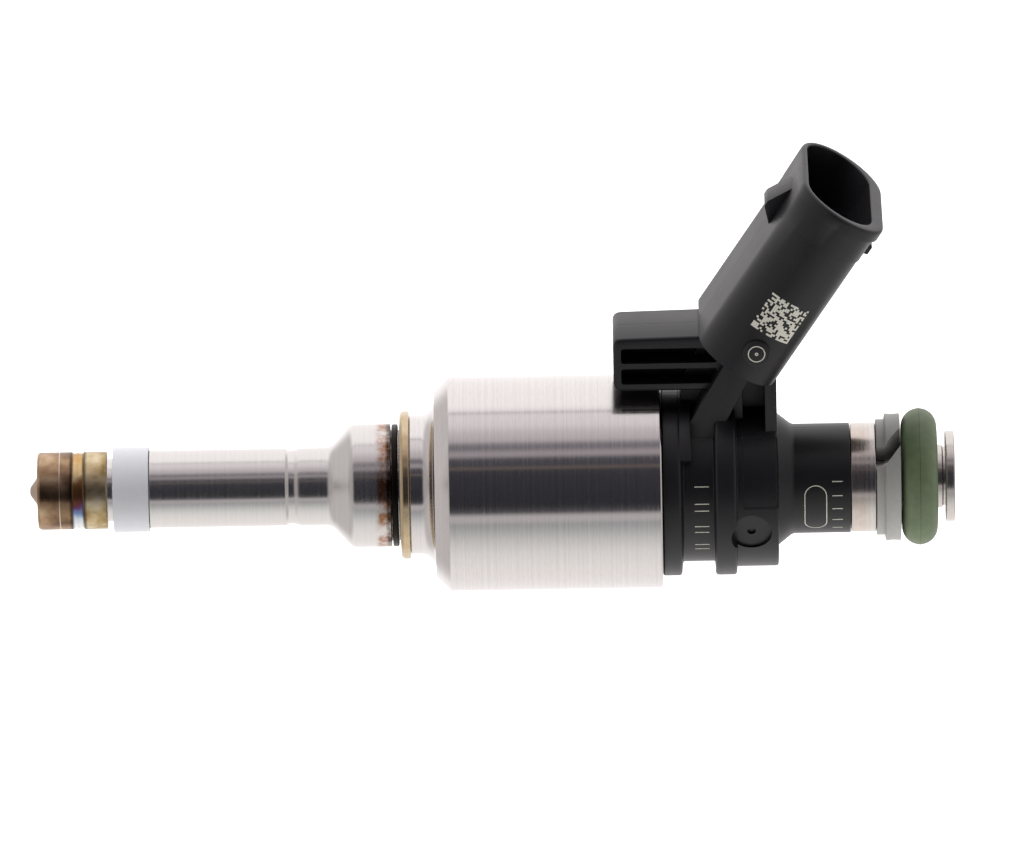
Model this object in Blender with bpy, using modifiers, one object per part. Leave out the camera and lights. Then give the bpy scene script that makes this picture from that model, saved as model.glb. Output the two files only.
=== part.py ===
"""High-pressure solenoid fuel injector, modelled as an assembly of separate pieces.

Frame: +X runs along the injector from the spray tip to the fuel inlet, +Z points to
the side of the electrical connector, and the XZ plane is the plane of symmetry. The
origin is on the injector axis, in the plane of the magnet cup's front seat face.
Lengths below are in millimetres. A station is a distance from the spray tip.
"""

import math

import bmesh
import bpy

MM = 0.001

# Driving dimensions, in millimetres.
SEAT_STATION = 39.2
TURN_STEPS = 32
SMALL_STEPS = 16
CLEAR = 0.06

TIP_DOME_RADIUS = 1.5
TIP_DOME_HEIGHT = 0.8
SPRAY_HOLES = 6
SPRAY_HOLE_RADIUS = 0.13
SPRAY_CIRCLE_RADIUS = 0.72
SPRAY_TILT = math.radians(28)

NOZZLE_RADIUS = 3.75
WELD_STATION = 4.72
WELD_HALF_WIDTH = 0.5
WELD_DEPTH = 0.14
SEAL_GROOVE = (7.5, 11.6)
SEAL_GROOVE_RADIUS = 3.05
SEAL_RADIUS = 4.1
TUBE_GROOVE = (24.5, 26.0)
TUBE_GROOVE_RADIUS = 3.55
SHOULDER_RADIUS = 5.95
SNAP_GROOVE = (34.95, 35.65)
SNAP_GROOVE_RADIUS = 5.35
DECOUPLING_RING = (35.85, 36.8)
DECOUPLING_RADIUS = 7.15
VALVE_BODY_END = 46.5

CUP_NECK_RADIUS = 6.7
CUP_SEAT_RADIUS = 8.95
CUP_RADIUS = 10.35
CUP_CHAMFER_END = 40.6
CUP_END = 61.1
CUP_BORE_RADIUS = 9.35

NEEDLE_RADIUS = 1.0
BALL_RADIUS = 1.5
BALL_STATION = 3.4
NEEDLE_END = 50.2
ARMATURE = (43.5, 49.0)
ARMATURE_RADIUS = 4.55
ARMATURE_BORES = 4
FREE_TRAVEL_GAP = 0.06
CHAMBER_RADIUS = 4.7
POLE_START = 49.25
POLE_END = 62.0
POLE_RADIUS = 5.9
SPRING_BORE_RADIUS = 2.45

COIL = (41.7, 57.6)
COIL_TURN_ROWS = 9
WASHER = (58.3, 60.9)

MOULD_START = 61.25
MOULD_END = 79.3
FLANGE_RADIUS = 9.2
MOULD_GROOVE_RADIUS = 7.84
STEP_RADIUS = 8.4
MOULD_NECK_RADIUS = 5.3
MOULD_BORE_RADIUS = 4.42

INLET_COLLAR_RADIUS = 5.27
INLET_COLLAR_END = 81.75
INLET_NECK_RADIUS = 3.07
INLET_DISC = (88.5, 89.4)
INLET_DISC_RADIUS = 4.4
INLET_BORE_RADIUS = 2.2
O_RING_STATION = 86.0
O_RING_MAJOR = 4.88
O_RING_MINOR = 1.72

# Connector tower: its base centre in the XZ plane, its lean from +X, and its section.
TOWER_BASE = (68.6, 14.9)
TOWER_ANGLE = math.radians(56.8)
TOWER_LENGTH = 18.2
TOWER_ROOT = -0.4
TOWER_OFFSET = -0.45
TOWER_HALF_WIDTH = 4.35
TOWER_FLAT = 3.3
TOWER_BULGE = 8.15
SOCKET_OFFSET = -0.6
SOCKET_HALF_WIDTH = 3.5
SOCKET_FLAT = 3.1
SOCKET_BULGE = 7.2
SOCKET_FLOOR = 6.6
LATCH_HALF_LENGTH = 2.1

PIN_SPREAD = 3.0
PIN_THICKNESS = 0.64
PIN_WIDTH = 1.2
PIN_OFFSET = 0.5
PIN_TIP = 14.0
PIN_HEIGHT = 6.45
PIN_START = 57.9

LUG_START = 56.4
LUG_END = 67.5
LUG_LOW = 11.2
LUG_HIGH = 16.3
LUG_HALF_WIDTH = 3.6


def clear_scene():
    for obj in list(bpy.data.objects):
        bpy.data.objects.remove(obj, do_unlink=True)


def new_collection(name):
    collection = bpy.data.collections.new(name)
    bpy.context.scene.collection.children.link(collection)
    return collection


def principled(name, colour, metallic, roughness):
    material = bpy.data.materials.new(name)
    material.use_nodes = True
    shader = material.node_tree.nodes["Principled BSDF"]
    shader.inputs["Base Color"].default_value = (*colour, 1.0)
    shader.inputs["Metallic"].default_value = metallic
    shader.inputs["Roughness"].default_value = roughness
    material.diffuse_color = (*colour, 1.0)
    return material


def polished_steel():
    return principled("polished_steel", (0.62, 0.61, 0.60), 1.0, 0.22)


def heat_tinted_steel():
    return principled("heat_tinted_steel", (0.31, 0.22, 0.15), 1.0, 0.38)


def magnetic_steel():
    return principled("magnetic_steel", (0.45, 0.45, 0.46), 1.0, 0.35)


def bearing_steel():
    return principled("bearing_steel", (0.70, 0.70, 0.71), 1.0, 0.10)


def spring_steel():
    return principled("spring_steel", (0.35, 0.35, 0.37), 1.0, 0.30)


def blackened_steel():
    return principled("blackened_steel", (0.02, 0.02, 0.02), 0.6, 0.45)


def pale_brass():
    return principled("pale_brass", (0.68, 0.56, 0.36), 1.0, 0.30)


def tinned_bronze():
    return principled("tinned_bronze", (0.60, 0.58, 0.53), 1.0, 0.30)


def enamelled_copper():
    return principled("enamelled_copper", (0.42, 0.12, 0.05), 0.9, 0.35)


def fluoropolymer():
    return principled("fluoropolymer", (0.60, 0.60, 0.64), 0.0, 0.45)


def glass_filled_nylon():
    return principled("glass_filled_nylon", (0.022, 0.022, 0.025), 0.0, 0.55)


def bobbin_nylon():
    return principled("bobbin_nylon", (0.10, 0.10, 0.11), 0.0, 0.50)


def green_elastomer():
    return principled("green_elastomer", (0.095, 0.15, 0.07), 0.0, 0.60)


def grey_polymer():
    return principled("grey_polymer", (0.33, 0.32, 0.30), 0.0, 0.50)


class Workshop:
    """Holds the two collections and the injector's axis, on which pieces are placed."""

    def __init__(self, name):
        self.parts = new_collection(name)
        self.cutters = new_collection(name + "_cutters")
        self.axis = bpy.data.objects.new(name + "_axis", None)
        self.axis.rotation_euler = (0.0, math.pi / 2, 0.0)
        self.axis.empty_display_size = 0.01
        self.parts.objects.link(self.axis)
        self.tower = bpy.data.objects.new(name + "_connector_frame", None)
        self.tower.location = (
            (TOWER_BASE[0] - SEAT_STATION) * MM,
            0.0,
            TOWER_BASE[1] * MM,
        )
        self.tower.rotation_euler = (0.0, math.pi / 2 - TOWER_ANGLE, 0.0)
        self.tower.empty_display_size = 0.01
        self.parts.objects.link(self.tower)

    def add(self, name, mesh, material=None):
        """A part when it has a material, and a hidden cutter or tool body when not."""
        obj = bpy.data.objects.new(name, mesh)
        if material is None:
            self.cutters.objects.link(obj)
            obj.hide_render = True
            obj.display_type = "WIRE"
        else:
            self.parts.objects.link(obj)
            mesh.materials.append(material)
        return obj

    def on_axis(self, obj, station):
        obj.parent = self.axis
        obj.location = (0.0, 0.0, (station - SEAT_STATION) * MM)

    def on_tower(self, obj, height=0.0, offset=0.0, side=0.0):
        obj.parent = self.tower
        obj.location = (offset * MM, side * MM, height * MM)


def turned(shop, name, outer, bore=(), material=None, steps=TURN_STEPS):
    """A turned piece from (station, radius) points, both lists running tip to inlet.

    No bore makes it solid, and a bore that starts on the axis makes it blind.
    """
    start = outer[0][0]
    points = list(bore) + list(reversed(outer))
    if not bore:
        points.insert(0, (outer[-1][0], 0.0))
    ring = bool(bore) and bore[0][1] > 0
    if not ring:
        points.append((start, 0.0))
    shape = bmesh.new()
    verts = [shape.verts.new((r * MM, 0.0, (s - start) * MM)) for s, r in points]
    for first, second in zip(verts, verts[1:]):
        shape.edges.new((first, second))
    if ring:
        shape.edges.new((verts[-1], verts[0]))
    mesh = bpy.data.meshes.new(name)
    shape.to_mesh(mesh)
    shape.free()
    obj = shop.add(name, mesh, material)
    screw = obj.modifiers.new("turn", "SCREW")
    screw.axis = "Z"
    screw.steps = steps
    screw.render_steps = steps
    screw.use_merge_vertices = True
    screw.merge_threshold = 1e-6
    screw.use_smooth_shade = True
    shop.on_axis(obj, start)
    return obj


def cut(obj, cutter, name="cut"):
    boolean = obj.modifiers.new(name, "BOOLEAN")
    boolean.operation = "DIFFERENCE"
    boolean.solver = "EXACT"
    boolean.object = cutter


def join(obj, other, name="join"):
    boolean = obj.modifiers.new(name, "BOOLEAN")
    boolean.operation = "UNION"
    boolean.solver = "EXACT"
    boolean.object = other


def box(shop, name, low, high, bevel=0.0):
    """A hidden box in part coordinates, from one (x, y, z) corner to the other."""
    size = [b - a for a, b in zip(low, high)]
    centre = [(a + b) / 2 for a, b in zip(low, high)]
    shape = bmesh.new()
    bmesh.ops.create_cube(shape, size=1.0)
    bmesh.ops.scale(shape, vec=[s * MM for s in size], verts=shape.verts)
    mesh = bpy.data.meshes.new(name)
    shape.to_mesh(mesh)
    shape.free()
    obj = shop.add(name, mesh)
    obj.location = [c * MM for c in centre]
    if bevel:
        rounding = obj.modifiers.new("rounding", "BEVEL")
        rounding.width = bevel * MM
        rounding.segments = 2
    return obj


def rod(shop, name, radius, depth, steps=SMALL_STEPS):
    """A hidden cylinder about its own Z axis, centred on its origin."""
    shape = bmesh.new()
    bmesh.ops.create_cone(
        shape,
        cap_ends=True,
        segments=steps,
        radius1=radius * MM,
        radius2=radius * MM,
        depth=depth * MM,
    )
    mesh = bpy.data.meshes.new(name)
    shape.to_mesh(mesh)
    shape.free()
    return shop.add(name, mesh)


def sheet_mesh(name, outline, half_thickness):
    """A flat outline in millimetres made solid by a filled and extruded 2D curve."""
    curve = bpy.data.curves.new(name + "_outline", "CURVE")
    curve.dimensions = "2D"
    curve.fill_mode = "BOTH"
    curve.extrude = half_thickness * MM
    spline = curve.splines.new("POLY")
    spline.points.add(len(outline) - 1)
    for point, (x, y) in zip(spline.points, outline):
        point.co = (x * MM, y * MM, 0.0, 1.0)
    spline.use_cyclic_u = True
    holder = bpy.data.objects.new(name + "_outline", curve)
    bpy.context.scene.collection.objects.link(holder)
    graph = bpy.context.evaluated_depsgraph_get()
    mesh = bpy.data.meshes.new_from_object(holder.evaluated_get(graph))
    bpy.data.objects.remove(holder, do_unlink=True)
    bpy.data.curves.remove(curve)
    shape = bmesh.new()
    shape.from_mesh(mesh)
    bmesh.ops.remove_doubles(shape, verts=shape.verts, dist=1e-7)
    bmesh.ops.recalc_face_normals(shape, faces=shape.faces)
    shape.to_mesh(mesh)
    shape.free()
    mesh.name = name
    return mesh


def side_plate(shop, name, outline, low_y, high_y, material=None):
    """An outline of (station, height) points in the XZ plane, thick along Y."""
    flat = [(station - SEAT_STATION, height) for station, height in outline]
    mesh = sheet_mesh(name, flat, (high_y - low_y) / 2)
    obj = shop.add(name, mesh, material)
    obj.rotation_euler = (math.pi / 2, 0.0, 0.0)
    obj.location = (0.0, (low_y + high_y) / 2 * MM, 0.0)
    return obj


def barrel_outline(half_width, flat, bulge, steps=10):
    """Two short flats joined by two long bulging arcs."""
    rise = bulge - flat
    radius = (half_width**2 + rise**2) / (2 * rise)
    centre = bulge - radius
    start = math.atan2(flat - centre, half_width)
    sweep = math.pi - 2 * start
    arc = []
    for index in range(steps + 1):
        angle = start + sweep * index / steps
        arc.append((radius * math.cos(angle), centre + radius * math.sin(angle)))
    return arc + [(-x, -y) for x, y in arc]


def barrel(shop, name, section, low, high, offset):
    """A straight barrel-section body along the connector axis."""
    mesh = sheet_mesh(name, barrel_outline(*section), (high - low) / 2)
    obj = shop.add(name, mesh)
    shop.on_tower(obj, height=(low + high) / 2, offset=offset)
    return obj


def tower_point(height, offset):
    """(station, height above the axis) of a point in the connector's own frame."""
    station = TOWER_BASE[0] + height * math.cos(TOWER_ANGLE)
    station += offset * math.sin(TOWER_ANGLE)
    level = TOWER_BASE[1] + height * math.sin(TOWER_ANGLE)
    level -= offset * math.cos(TOWER_ANGLE)
    return station, level


def coil_spring(shop, name, station, length, radius, wire, turns, material):
    """A compression spring with one flat closed turn at each end."""
    curve = bpy.data.curves.new(name, "CURVE")
    curve.dimensions = "3D"
    curve.bevel_depth = wire / 2 * MM
    curve.bevel_resolution = 2
    curve.use_fill_caps = True
    spline = curve.splines.new("POLY")
    per_turn = 12
    count = int(turns * per_turn)
    spline.points.add(count)
    free = length - wire
    closed = wire * 1.15
    for index in range(count + 1):
        turn = index / per_turn
        if turn < 1:
            level = closed * turn
        elif turn > turns - 1:
            level = free - closed * (turns - turn)
        else:
            level = closed + (free - 2 * closed) * (turn - 1) / (turns - 2)
        angle = 2 * math.pi * turn
        point = (radius * math.cos(angle), radius * math.sin(angle), level + wire / 2)
        spline.points[index].co = (*[value * MM for value in point], 1.0)
    obj = bpy.data.objects.new(name, curve)
    shop.parts.objects.link(obj)
    curve.materials.append(material)
    shop.on_axis(obj, station)
    return obj


def nozzle_seat_body(shop, steel):
    """The tip with its spray dome, spray holes, conical ball seat and spigot."""
    weld_floor = NOZZLE_RADIUS - WELD_DEPTH
    weld_edge = WELD_STATION - WELD_HALF_WIDTH
    outer = [
        (0.0, 0.3),
        (0.15, 0.75),
        (TIP_DOME_HEIGHT, TIP_DOME_RADIUS),
        (TIP_DOME_HEIGHT, NOZZLE_RADIUS - 0.25),
        (1.05, NOZZLE_RADIUS),
        (weld_edge, NOZZLE_RADIUS),
        (weld_edge + 0.1, weld_floor),
        (WELD_STATION - CLEAR / 2, weld_floor),
        (WELD_STATION - CLEAR / 2, 2.5),
        (10.0, 2.5),
    ]
    bore = [(1.2, 0.0), (1.25, 0.45), (1.6, 0.55), (3.0, 1.75), (10.0, 1.75)]
    body = turned(shop, "nozzle_seat_body", outer, bore, steel)
    for index in range(SPRAY_HOLES):
        angle = 2 * math.pi * index / SPRAY_HOLES
        drill = rod(shop, f"spray_drill_{index}", SPRAY_HOLE_RADIUS, 2.4, steps=8)
        drill.parent = shop.axis
        drill.location = (
            SPRAY_CIRCLE_RADIUS * math.cos(angle) * MM,
            SPRAY_CIRCLE_RADIUS * math.sin(angle) * MM,
            (0.85 - SEAT_STATION) * MM,
        )
        drill.rotation_euler = (0.0, -SPRAY_TILT, angle)
        cut(body, drill, "spray_hole")
    return body


def valve_body(shop, steel):
    """The slim valve tube with its seal groove, shoulder, ring groove and chamber."""
    weld_floor = NOZZLE_RADIUS - WELD_DEPTH
    weld_edge = WELD_STATION + WELD_HALF_WIDTH
    ring_low, ring_high = SNAP_GROOVE
    outer = [
        (WELD_STATION + CLEAR / 2, weld_floor),
        (weld_edge - 0.1, weld_floor),
        (weld_edge, NOZZLE_RADIUS),
        (SEAL_GROOVE[0], NOZZLE_RADIUS),
        (SEAL_GROOVE[0], SEAL_GROOVE_RADIUS),
        (SEAL_GROOVE[1], SEAL_GROOVE_RADIUS),
        (SEAL_GROOVE[1], NOZZLE_RADIUS),
        (TUBE_GROOVE[0] - 0.2, NOZZLE_RADIUS),
        (TUBE_GROOVE[0] + 0.2, TUBE_GROOVE_RADIUS),
        (TUBE_GROOVE[1] - 0.2, TUBE_GROOVE_RADIUS),
        (TUBE_GROOVE[1] + 0.2, NOZZLE_RADIUS),
        (28.9, NOZZLE_RADIUS),
        (29.4, NOZZLE_RADIUS + 0.25),
        (30.7, SHOULDER_RADIUS - 0.6),
        (31.4, SHOULDER_RADIUS),
        (ring_low, SHOULDER_RADIUS),
        (ring_low, SNAP_GROOVE_RADIUS),
        (ring_high, SNAP_GROOVE_RADIUS),
        (ring_high, SHOULDER_RADIUS),
        (VALVE_BODY_END, SHOULDER_RADIUS),
    ]
    bore = [
        (WELD_STATION + CLEAR / 2, 2.57),
        (10.2, 2.57),
        (10.5, 2.2),
        (29.6, 2.2),
        (31.6, CHAMBER_RADIUS),
        (VALVE_BODY_END, CHAMBER_RADIUS),
    ]
    return turned(shop, "valve_body", outer, bore, steel)


def combustion_seal(shop, polymer):
    outer = [(SEAL_GROOVE[0] + 0.6, SEAL_RADIUS), (SEAL_GROOVE[1] - 0.05, SEAL_RADIUS)]
    bore = [(station, SEAL_GROOVE_RADIUS + 0.06) for station, _ in outer]
    return turned(shop, "combustion_seal", outer, bore, polymer)


def snap_ring(shop, steel):
    """An open spring ring; its gap lies on the side away from the lug."""
    low, high = SNAP_GROOVE[0] + 0.06, SNAP_GROOVE[1] - 0.06
    outer = [(low, SHOULDER_RADIUS + 0.05), (high, SHOULDER_RADIUS + 0.05)]
    bore = [(low, SNAP_GROOVE_RADIUS + 0.08), (high, SNAP_GROOVE_RADIUS + 0.08)]
    ring = turned(shop, "snap_ring", outer, bore, steel)
    front, back = low - SEAT_STATION - 1, high - SEAT_STATION + 1
    slot = box(shop, "snap_ring_slot", (front, -0.9, -7.5), (back, 0.9, -4.0))
    cut(ring, slot)
    return ring


def decoupling_ring(shop, brass):
    low, high = DECOUPLING_RING
    outer = [
        (low, DECOUPLING_RADIUS - 0.25),
        (low + 0.25, DECOUPLING_RADIUS),
        (high - 0.05, DECOUPLING_RADIUS),
    ]
    bore = [(low, SHOULDER_RADIUS + 0.08), (high - 0.05, SHOULDER_RADIUS + 0.08)]
    return turned(shop, "decoupling_ring", outer, bore, brass)


def magnet_cup(shop, steel):
    """The drawn and turned pot that closes the magnetic circuit round the coil."""
    front = DECOUPLING_RING[1]
    outer = [
        (front, CUP_NECK_RADIUS),
        (38.4, CUP_NECK_RADIUS),
        (38.9, CUP_NECK_RADIUS + 0.2),
        (SEAT_STATION, CUP_NECK_RADIUS + 0.7),
        (SEAT_STATION, CUP_SEAT_RADIUS),
        (CUP_CHAMFER_END, CUP_RADIUS),
        (CUP_END - 0.15, CUP_RADIUS),
        (CUP_END, CUP_RADIUS - 0.15),
    ]
    bore = [
        (front, SHOULDER_RADIUS + 0.08),
        (COIL[0] - 0.2, SHOULDER_RADIUS + 0.08),
        (COIL[0] - 0.2, CUP_BORE_RADIUS),
        (CUP_END, CUP_BORE_RADIUS),
    ]
    return turned(shop, "magnet_cup", outer, bore, steel)


def valve_ball(shop, steel):
    shape = bmesh.new()
    bmesh.ops.create_uvsphere(
        shape, u_segments=SMALL_STEPS, v_segments=12, radius=BALL_RADIUS * MM
    )
    mesh = bpy.data.meshes.new("valve_ball")
    shape.to_mesh(mesh)
    shape.free()
    mesh.shade_smooth()
    ball = shop.add("valve_ball", mesh, steel)
    shop.on_axis(ball, BALL_STATION)
    return ball


def valve_needle(shop, steel):
    outer = [
        (BALL_STATION + BALL_RADIUS + 0.04, 0.8),
        (6.2, NEEDLE_RADIUS),
        (NEEDLE_END, NEEDLE_RADIUS),
    ]
    return turned(shop, "valve_needle", outer, (), steel, SMALL_STEPS)


def needle_guide(shop, steel):
    """A guide disc that centres the needle and lets fuel past through its holes."""
    outer = [(33.0, CHAMBER_RADIUS - 0.08), (34.4, CHAMBER_RADIUS - 0.08)]
    bore = [(33.0, NEEDLE_RADIUS + 0.08), (34.4, NEEDLE_RADIUS + 0.08)]
    disc = turned(shop, "needle_guide", outer, bore, steel)
    flow_holes(shop, disc, "guide_flow", 6, 2.9, 0.65, 33.7, 3.0)
    return disc


def flow_holes(shop, obj, name, count, circle, radius, station, depth):
    for index in range(count):
        angle = 2 * math.pi * (index + 0.5) / count
        drill = rod(shop, f"{name}_{index}", radius, depth, steps=12)
        drill.parent = shop.axis
        drill.location = (
            circle * math.cos(angle) * MM,
            circle * math.sin(angle) * MM,
            (station - SEAT_STATION) * MM,
        )
        drill.rotation_euler = (0.0, 0.0, angle + 0.11)
        cut(obj, drill, "flow_hole")


def lower_stop(shop, steel):
    """The sleeve on the needle that the armature rests on when the valve is shut."""
    outer = [
        (40.6, 1.5),
        (42.6, 1.5),
        (42.7, 2.3),
        (ARMATURE[0] - FREE_TRAVEL_GAP, 2.3),
    ]
    end = ARMATURE[0] - FREE_TRAVEL_GAP
    bore = [(40.6, NEEDLE_RADIUS + CLEAR), (end, NEEDLE_RADIUS + CLEAR)]
    return turned(shop, "lower_stop", outer, bore, steel, SMALL_STEPS)


def upper_stop(shop, steel):
    """The collar on the needle that the rising armature picks up."""
    start = ARMATURE[1] + FREE_TRAVEL_GAP
    outer = [(start, 1.9), (NEEDLE_END - 0.05, 1.9)]
    bore = [(station, NEEDLE_RADIUS + CLEAR) for station, _ in outer]
    return turned(shop, "upper_stop", outer, bore, steel, SMALL_STEPS)


def armature(shop, steel):
    low, high = ARMATURE
    outer = [
        (low, ARMATURE_RADIUS - 0.6),
        (low + 0.6, ARMATURE_RADIUS),
        (high, ARMATURE_RADIUS),
    ]
    bore = [
        (low, NEEDLE_RADIUS + 0.12),
        (high - 1.6, NEEDLE_RADIUS + 0.12),
        (high - 1.6, 1.8),
        (high, 1.8),
    ]
    body = turned(shop, "armature", outer, bore, steel)
    flow_holes(shop, body, "armature_bore", ARMATURE_BORES, 3.0, 0.55, 46.2, 8.0)
    return body


def nonmagnetic_ring(shop, steel):
    """The spacer that makes the magnetic flux cross the armature's air gap."""
    outer = [
        (VALVE_BODY_END + CLEAR, SHOULDER_RADIUS),
        (POLE_START - CLEAR, SHOULDER_RADIUS),
    ]
    bore = [(station, CHAMBER_RADIUS) for station, _ in outer]
    return turned(shop, "nonmagnetic_ring", outer, bore, steel)


def pole_core(shop, steel):
    outer = [
        (POLE_START, POLE_RADIUS),
        (WASHER[1] + 0.1, POLE_RADIUS),
        (WASHER[1] + 0.1, 4.3),
        (POLE_END, 4.3),
    ]
    bore = [(POLE_START, SPRING_BORE_RADIUS), (POLE_END, SPRING_BORE_RADIUS)]
    return turned(shop, "pole_core", outer, bore, steel)


def adjusting_sleeve(shop, steel):
    """The slotted sleeve whose depth sets the return spring's load."""
    outer = [(58.4, 2.2), (58.6, 2.34), (66.0, 2.34)]
    bore = [(58.4, 1.35), (66.0, 1.35)]
    sleeve = turned(shop, "adjusting_sleeve", outer, bore, steel)
    low, high = 57.0 - SEAT_STATION, 67.0 - SEAT_STATION
    slot = box(shop, "adjusting_sleeve_slot", (low, -0.35, -3.0), (high, 0.35, 0.0))
    cut(sleeve, slot)
    return sleeve


def coil_bobbin(shop, nylon):
    low, high = COIL
    hub = SHOULDER_RADIUS + 0.1
    outer = [
        (low, 9.2),
        (low + 0.8, 9.2),
        (low + 0.8, 6.75),
        (high - 0.8, 6.75),
        (high - 0.8, 9.2),
        (high, 9.2),
    ]
    bore = [(low, hub), (high, hub)]
    return turned(shop, "coil_bobbin", outer, bore, nylon)


def coil_winding(shop, copper):
    """The wound wire as one body, with a ridge for each row of turns."""
    low, high = COIL[0] + 0.88, COIL[1] - 0.88
    pitch = (high - low) / COIL_TURN_ROWS
    outer = []
    for row in range(COIL_TURN_ROWS):
        outer.append((low + row * pitch, 8.65))
        outer.append((low + (row + 0.5) * pitch, 8.95))
    outer.append((high, 8.65))
    bore = [(low, 6.83), (high, 6.83)]
    return turned(shop, "coil_winding", outer, bore, copper)


def flux_washer(shop, steel):
    """The ring that carries the flux from the cup to the pole core."""
    low, high = WASHER
    outer = [(low, CUP_BORE_RADIUS - 0.08), (high, CUP_BORE_RADIUS - 0.08)]
    bore = [(low, POLE_RADIUS + 0.08), (high, POLE_RADIUS + 0.08)]
    washer = turned(shop, "flux_washer", outer, bore, steel)
    front, back = low - SEAT_STATION - 1, high - SEAT_STATION + 1
    notch = box(
        shop,
        "terminal_notch",
        (front, -PIN_SPREAD - 0.9, 3.0),
        (back, PIN_SPREAD + 0.9, PIN_HEIGHT + 1.3),
    )
    cut(washer, notch)
    return washer


def inlet_tube(shop, steel):
    """The fuel inlet: hidden stem, bare collar, O-ring neck and end disc."""
    outer = [
        (POLE_END + 0.08, MOULD_BORE_RADIUS - 0.1),
        (MOULD_END + 0.08, MOULD_BORE_RADIUS - 0.1),
        (MOULD_END + 0.08, INLET_COLLAR_RADIUS),
        (INLET_COLLAR_END, INLET_COLLAR_RADIUS),
        (INLET_COLLAR_END, INLET_NECK_RADIUS),
        (INLET_DISC[0], INLET_NECK_RADIUS),
        (INLET_DISC[0], INLET_DISC_RADIUS),
        (INLET_DISC[1], INLET_DISC_RADIUS),
    ]
    bore = [
        (POLE_END + 0.08, SPRING_BORE_RADIUS),
        (66.6, SPRING_BORE_RADIUS),
        (67.2, 1.9),
        (79.2, 1.9),
        (79.2, INLET_BORE_RADIUS),
        (INLET_DISC[1] - 0.3, INLET_BORE_RADIUS),
        (INLET_DISC[1], INLET_BORE_RADIUS + 0.3),
    ]
    return turned(shop, "inlet_tube", outer, bore, steel)


def filter_frame(shop, brass):
    """The basket frame of the inlet filter: a press ring and a windowed cage."""
    outer = [(79.8, 1.75), (86.8, 1.75), (86.8, 2.12), (88.6, 2.12)]
    bore = [(80.5, 0.0), (80.5, 1.42), (88.6, 1.42)]
    frame = turned(shop, "filter_frame", outer, bore, brass)
    low, high = 81.2 - SEAT_STATION, 86.0 - SEAT_STATION
    for name, low_corner, high_corner in (
        ("filter_window_across", (low, -3.0, -0.8), (high, 3.0, 0.8)),
        ("filter_window_up", (low, -0.8, -3.0), (high, 0.8, 3.0)),
    ):
        cut(frame, box(shop, name, low_corner, high_corner))
    return frame


def filter_screen(shop, steel):
    """The fine mesh tube inside the frame, closed at its downstream end."""
    outer = [(80.62, 1.33), (88.0, 1.33)]
    bore = [(80.9, 0.0), (80.9, 1.15), (88.0, 1.15)]
    return turned(shop, "filter_screen", outer, bore, steel)


def support_ring(shop, polymer):
    """The split ring that backs the O-ring, cut through on a slant."""
    low = INLET_COLLAR_END + 0.07
    outer = [(low, 5.6), (82.6, 5.6), (82.7, 6.15), (84.15, 6.15)]
    bore = [(low, INLET_NECK_RADIUS + 0.08), (84.15, INLET_NECK_RADIUS + 0.08)]
    ring = turned(shop, "support_ring", outer, bore, polymer)
    slit = box(shop, "support_ring_slit", (-3.0, -0.9, 1.0), (3.0, 0.9, 8.0))
    slit.location.x += (83.0 - SEAT_STATION) * MM
    slit.rotation_euler = (math.radians(48), 0.0, 0.0)
    swing = math.radians(48)
    reach = 4.5 * MM
    slit.location.y = -reach * math.sin(swing)
    slit.location.z = reach * math.cos(swing)
    cut(ring, slit)
    return ring


def inlet_o_ring(shop, rubber):
    mesh = bpy.data.meshes.new("inlet_o_ring")
    shape = bmesh.new()
    profile = []
    for index in range(14):
        angle = 2 * math.pi * index / 14
        radius = O_RING_MAJOR + O_RING_MINOR * math.cos(angle)
        level = -O_RING_MINOR * math.sin(angle)
        profile.append(shape.verts.new((radius * MM, 0.0, level * MM)))
    for first, second in zip(profile, profile[1:] + profile[:1]):
        shape.edges.new((first, second))
    shape.to_mesh(mesh)
    shape.free()
    ring = shop.add("inlet_o_ring", mesh, rubber)
    screw = ring.modifiers.new("turn", "SCREW")
    screw.axis = "Z"
    screw.steps = TURN_STEPS
    screw.render_steps = TURN_STEPS
    screw.use_merge_vertices = True
    screw.merge_threshold = 1e-6
    screw.use_smooth_shade = True
    shop.on_axis(ring, O_RING_STATION)
    return ring


def pin_outline(width, low, high):
    """The outline of a bent terminal: an axial run, a bend and a run up the tower."""
    half = width / 2
    bend_drop = (TOWER_BASE[1] - PIN_HEIGHT) / math.sin(TOWER_ANGLE)
    sides = []
    for side in (1, -1):
        level = PIN_HEIGHT + side * half
        tip = tower_point(high, PIN_OFFSET - side * half)
        foot = tower_point(-bend_drop, PIN_OFFSET - side * half)
        run = (level - foot[1]) / math.sin(TOWER_ANGLE)
        corner = (foot[0] + run * math.cos(TOWER_ANGLE), level)
        sides.append([(low, level), corner, tip])
    return sides[0] + list(reversed(sides[1]))


def terminal_pin(shop, name, side, bronze):
    """A blade terminal from the coil to the connector socket."""
    centre = side * PIN_SPREAD
    outline = pin_outline(PIN_WIDTH, PIN_START, PIN_TIP)
    half = PIN_THICKNESS / 2
    return side_plate(shop, name, outline, centre - half, centre + half, bronze)


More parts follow.
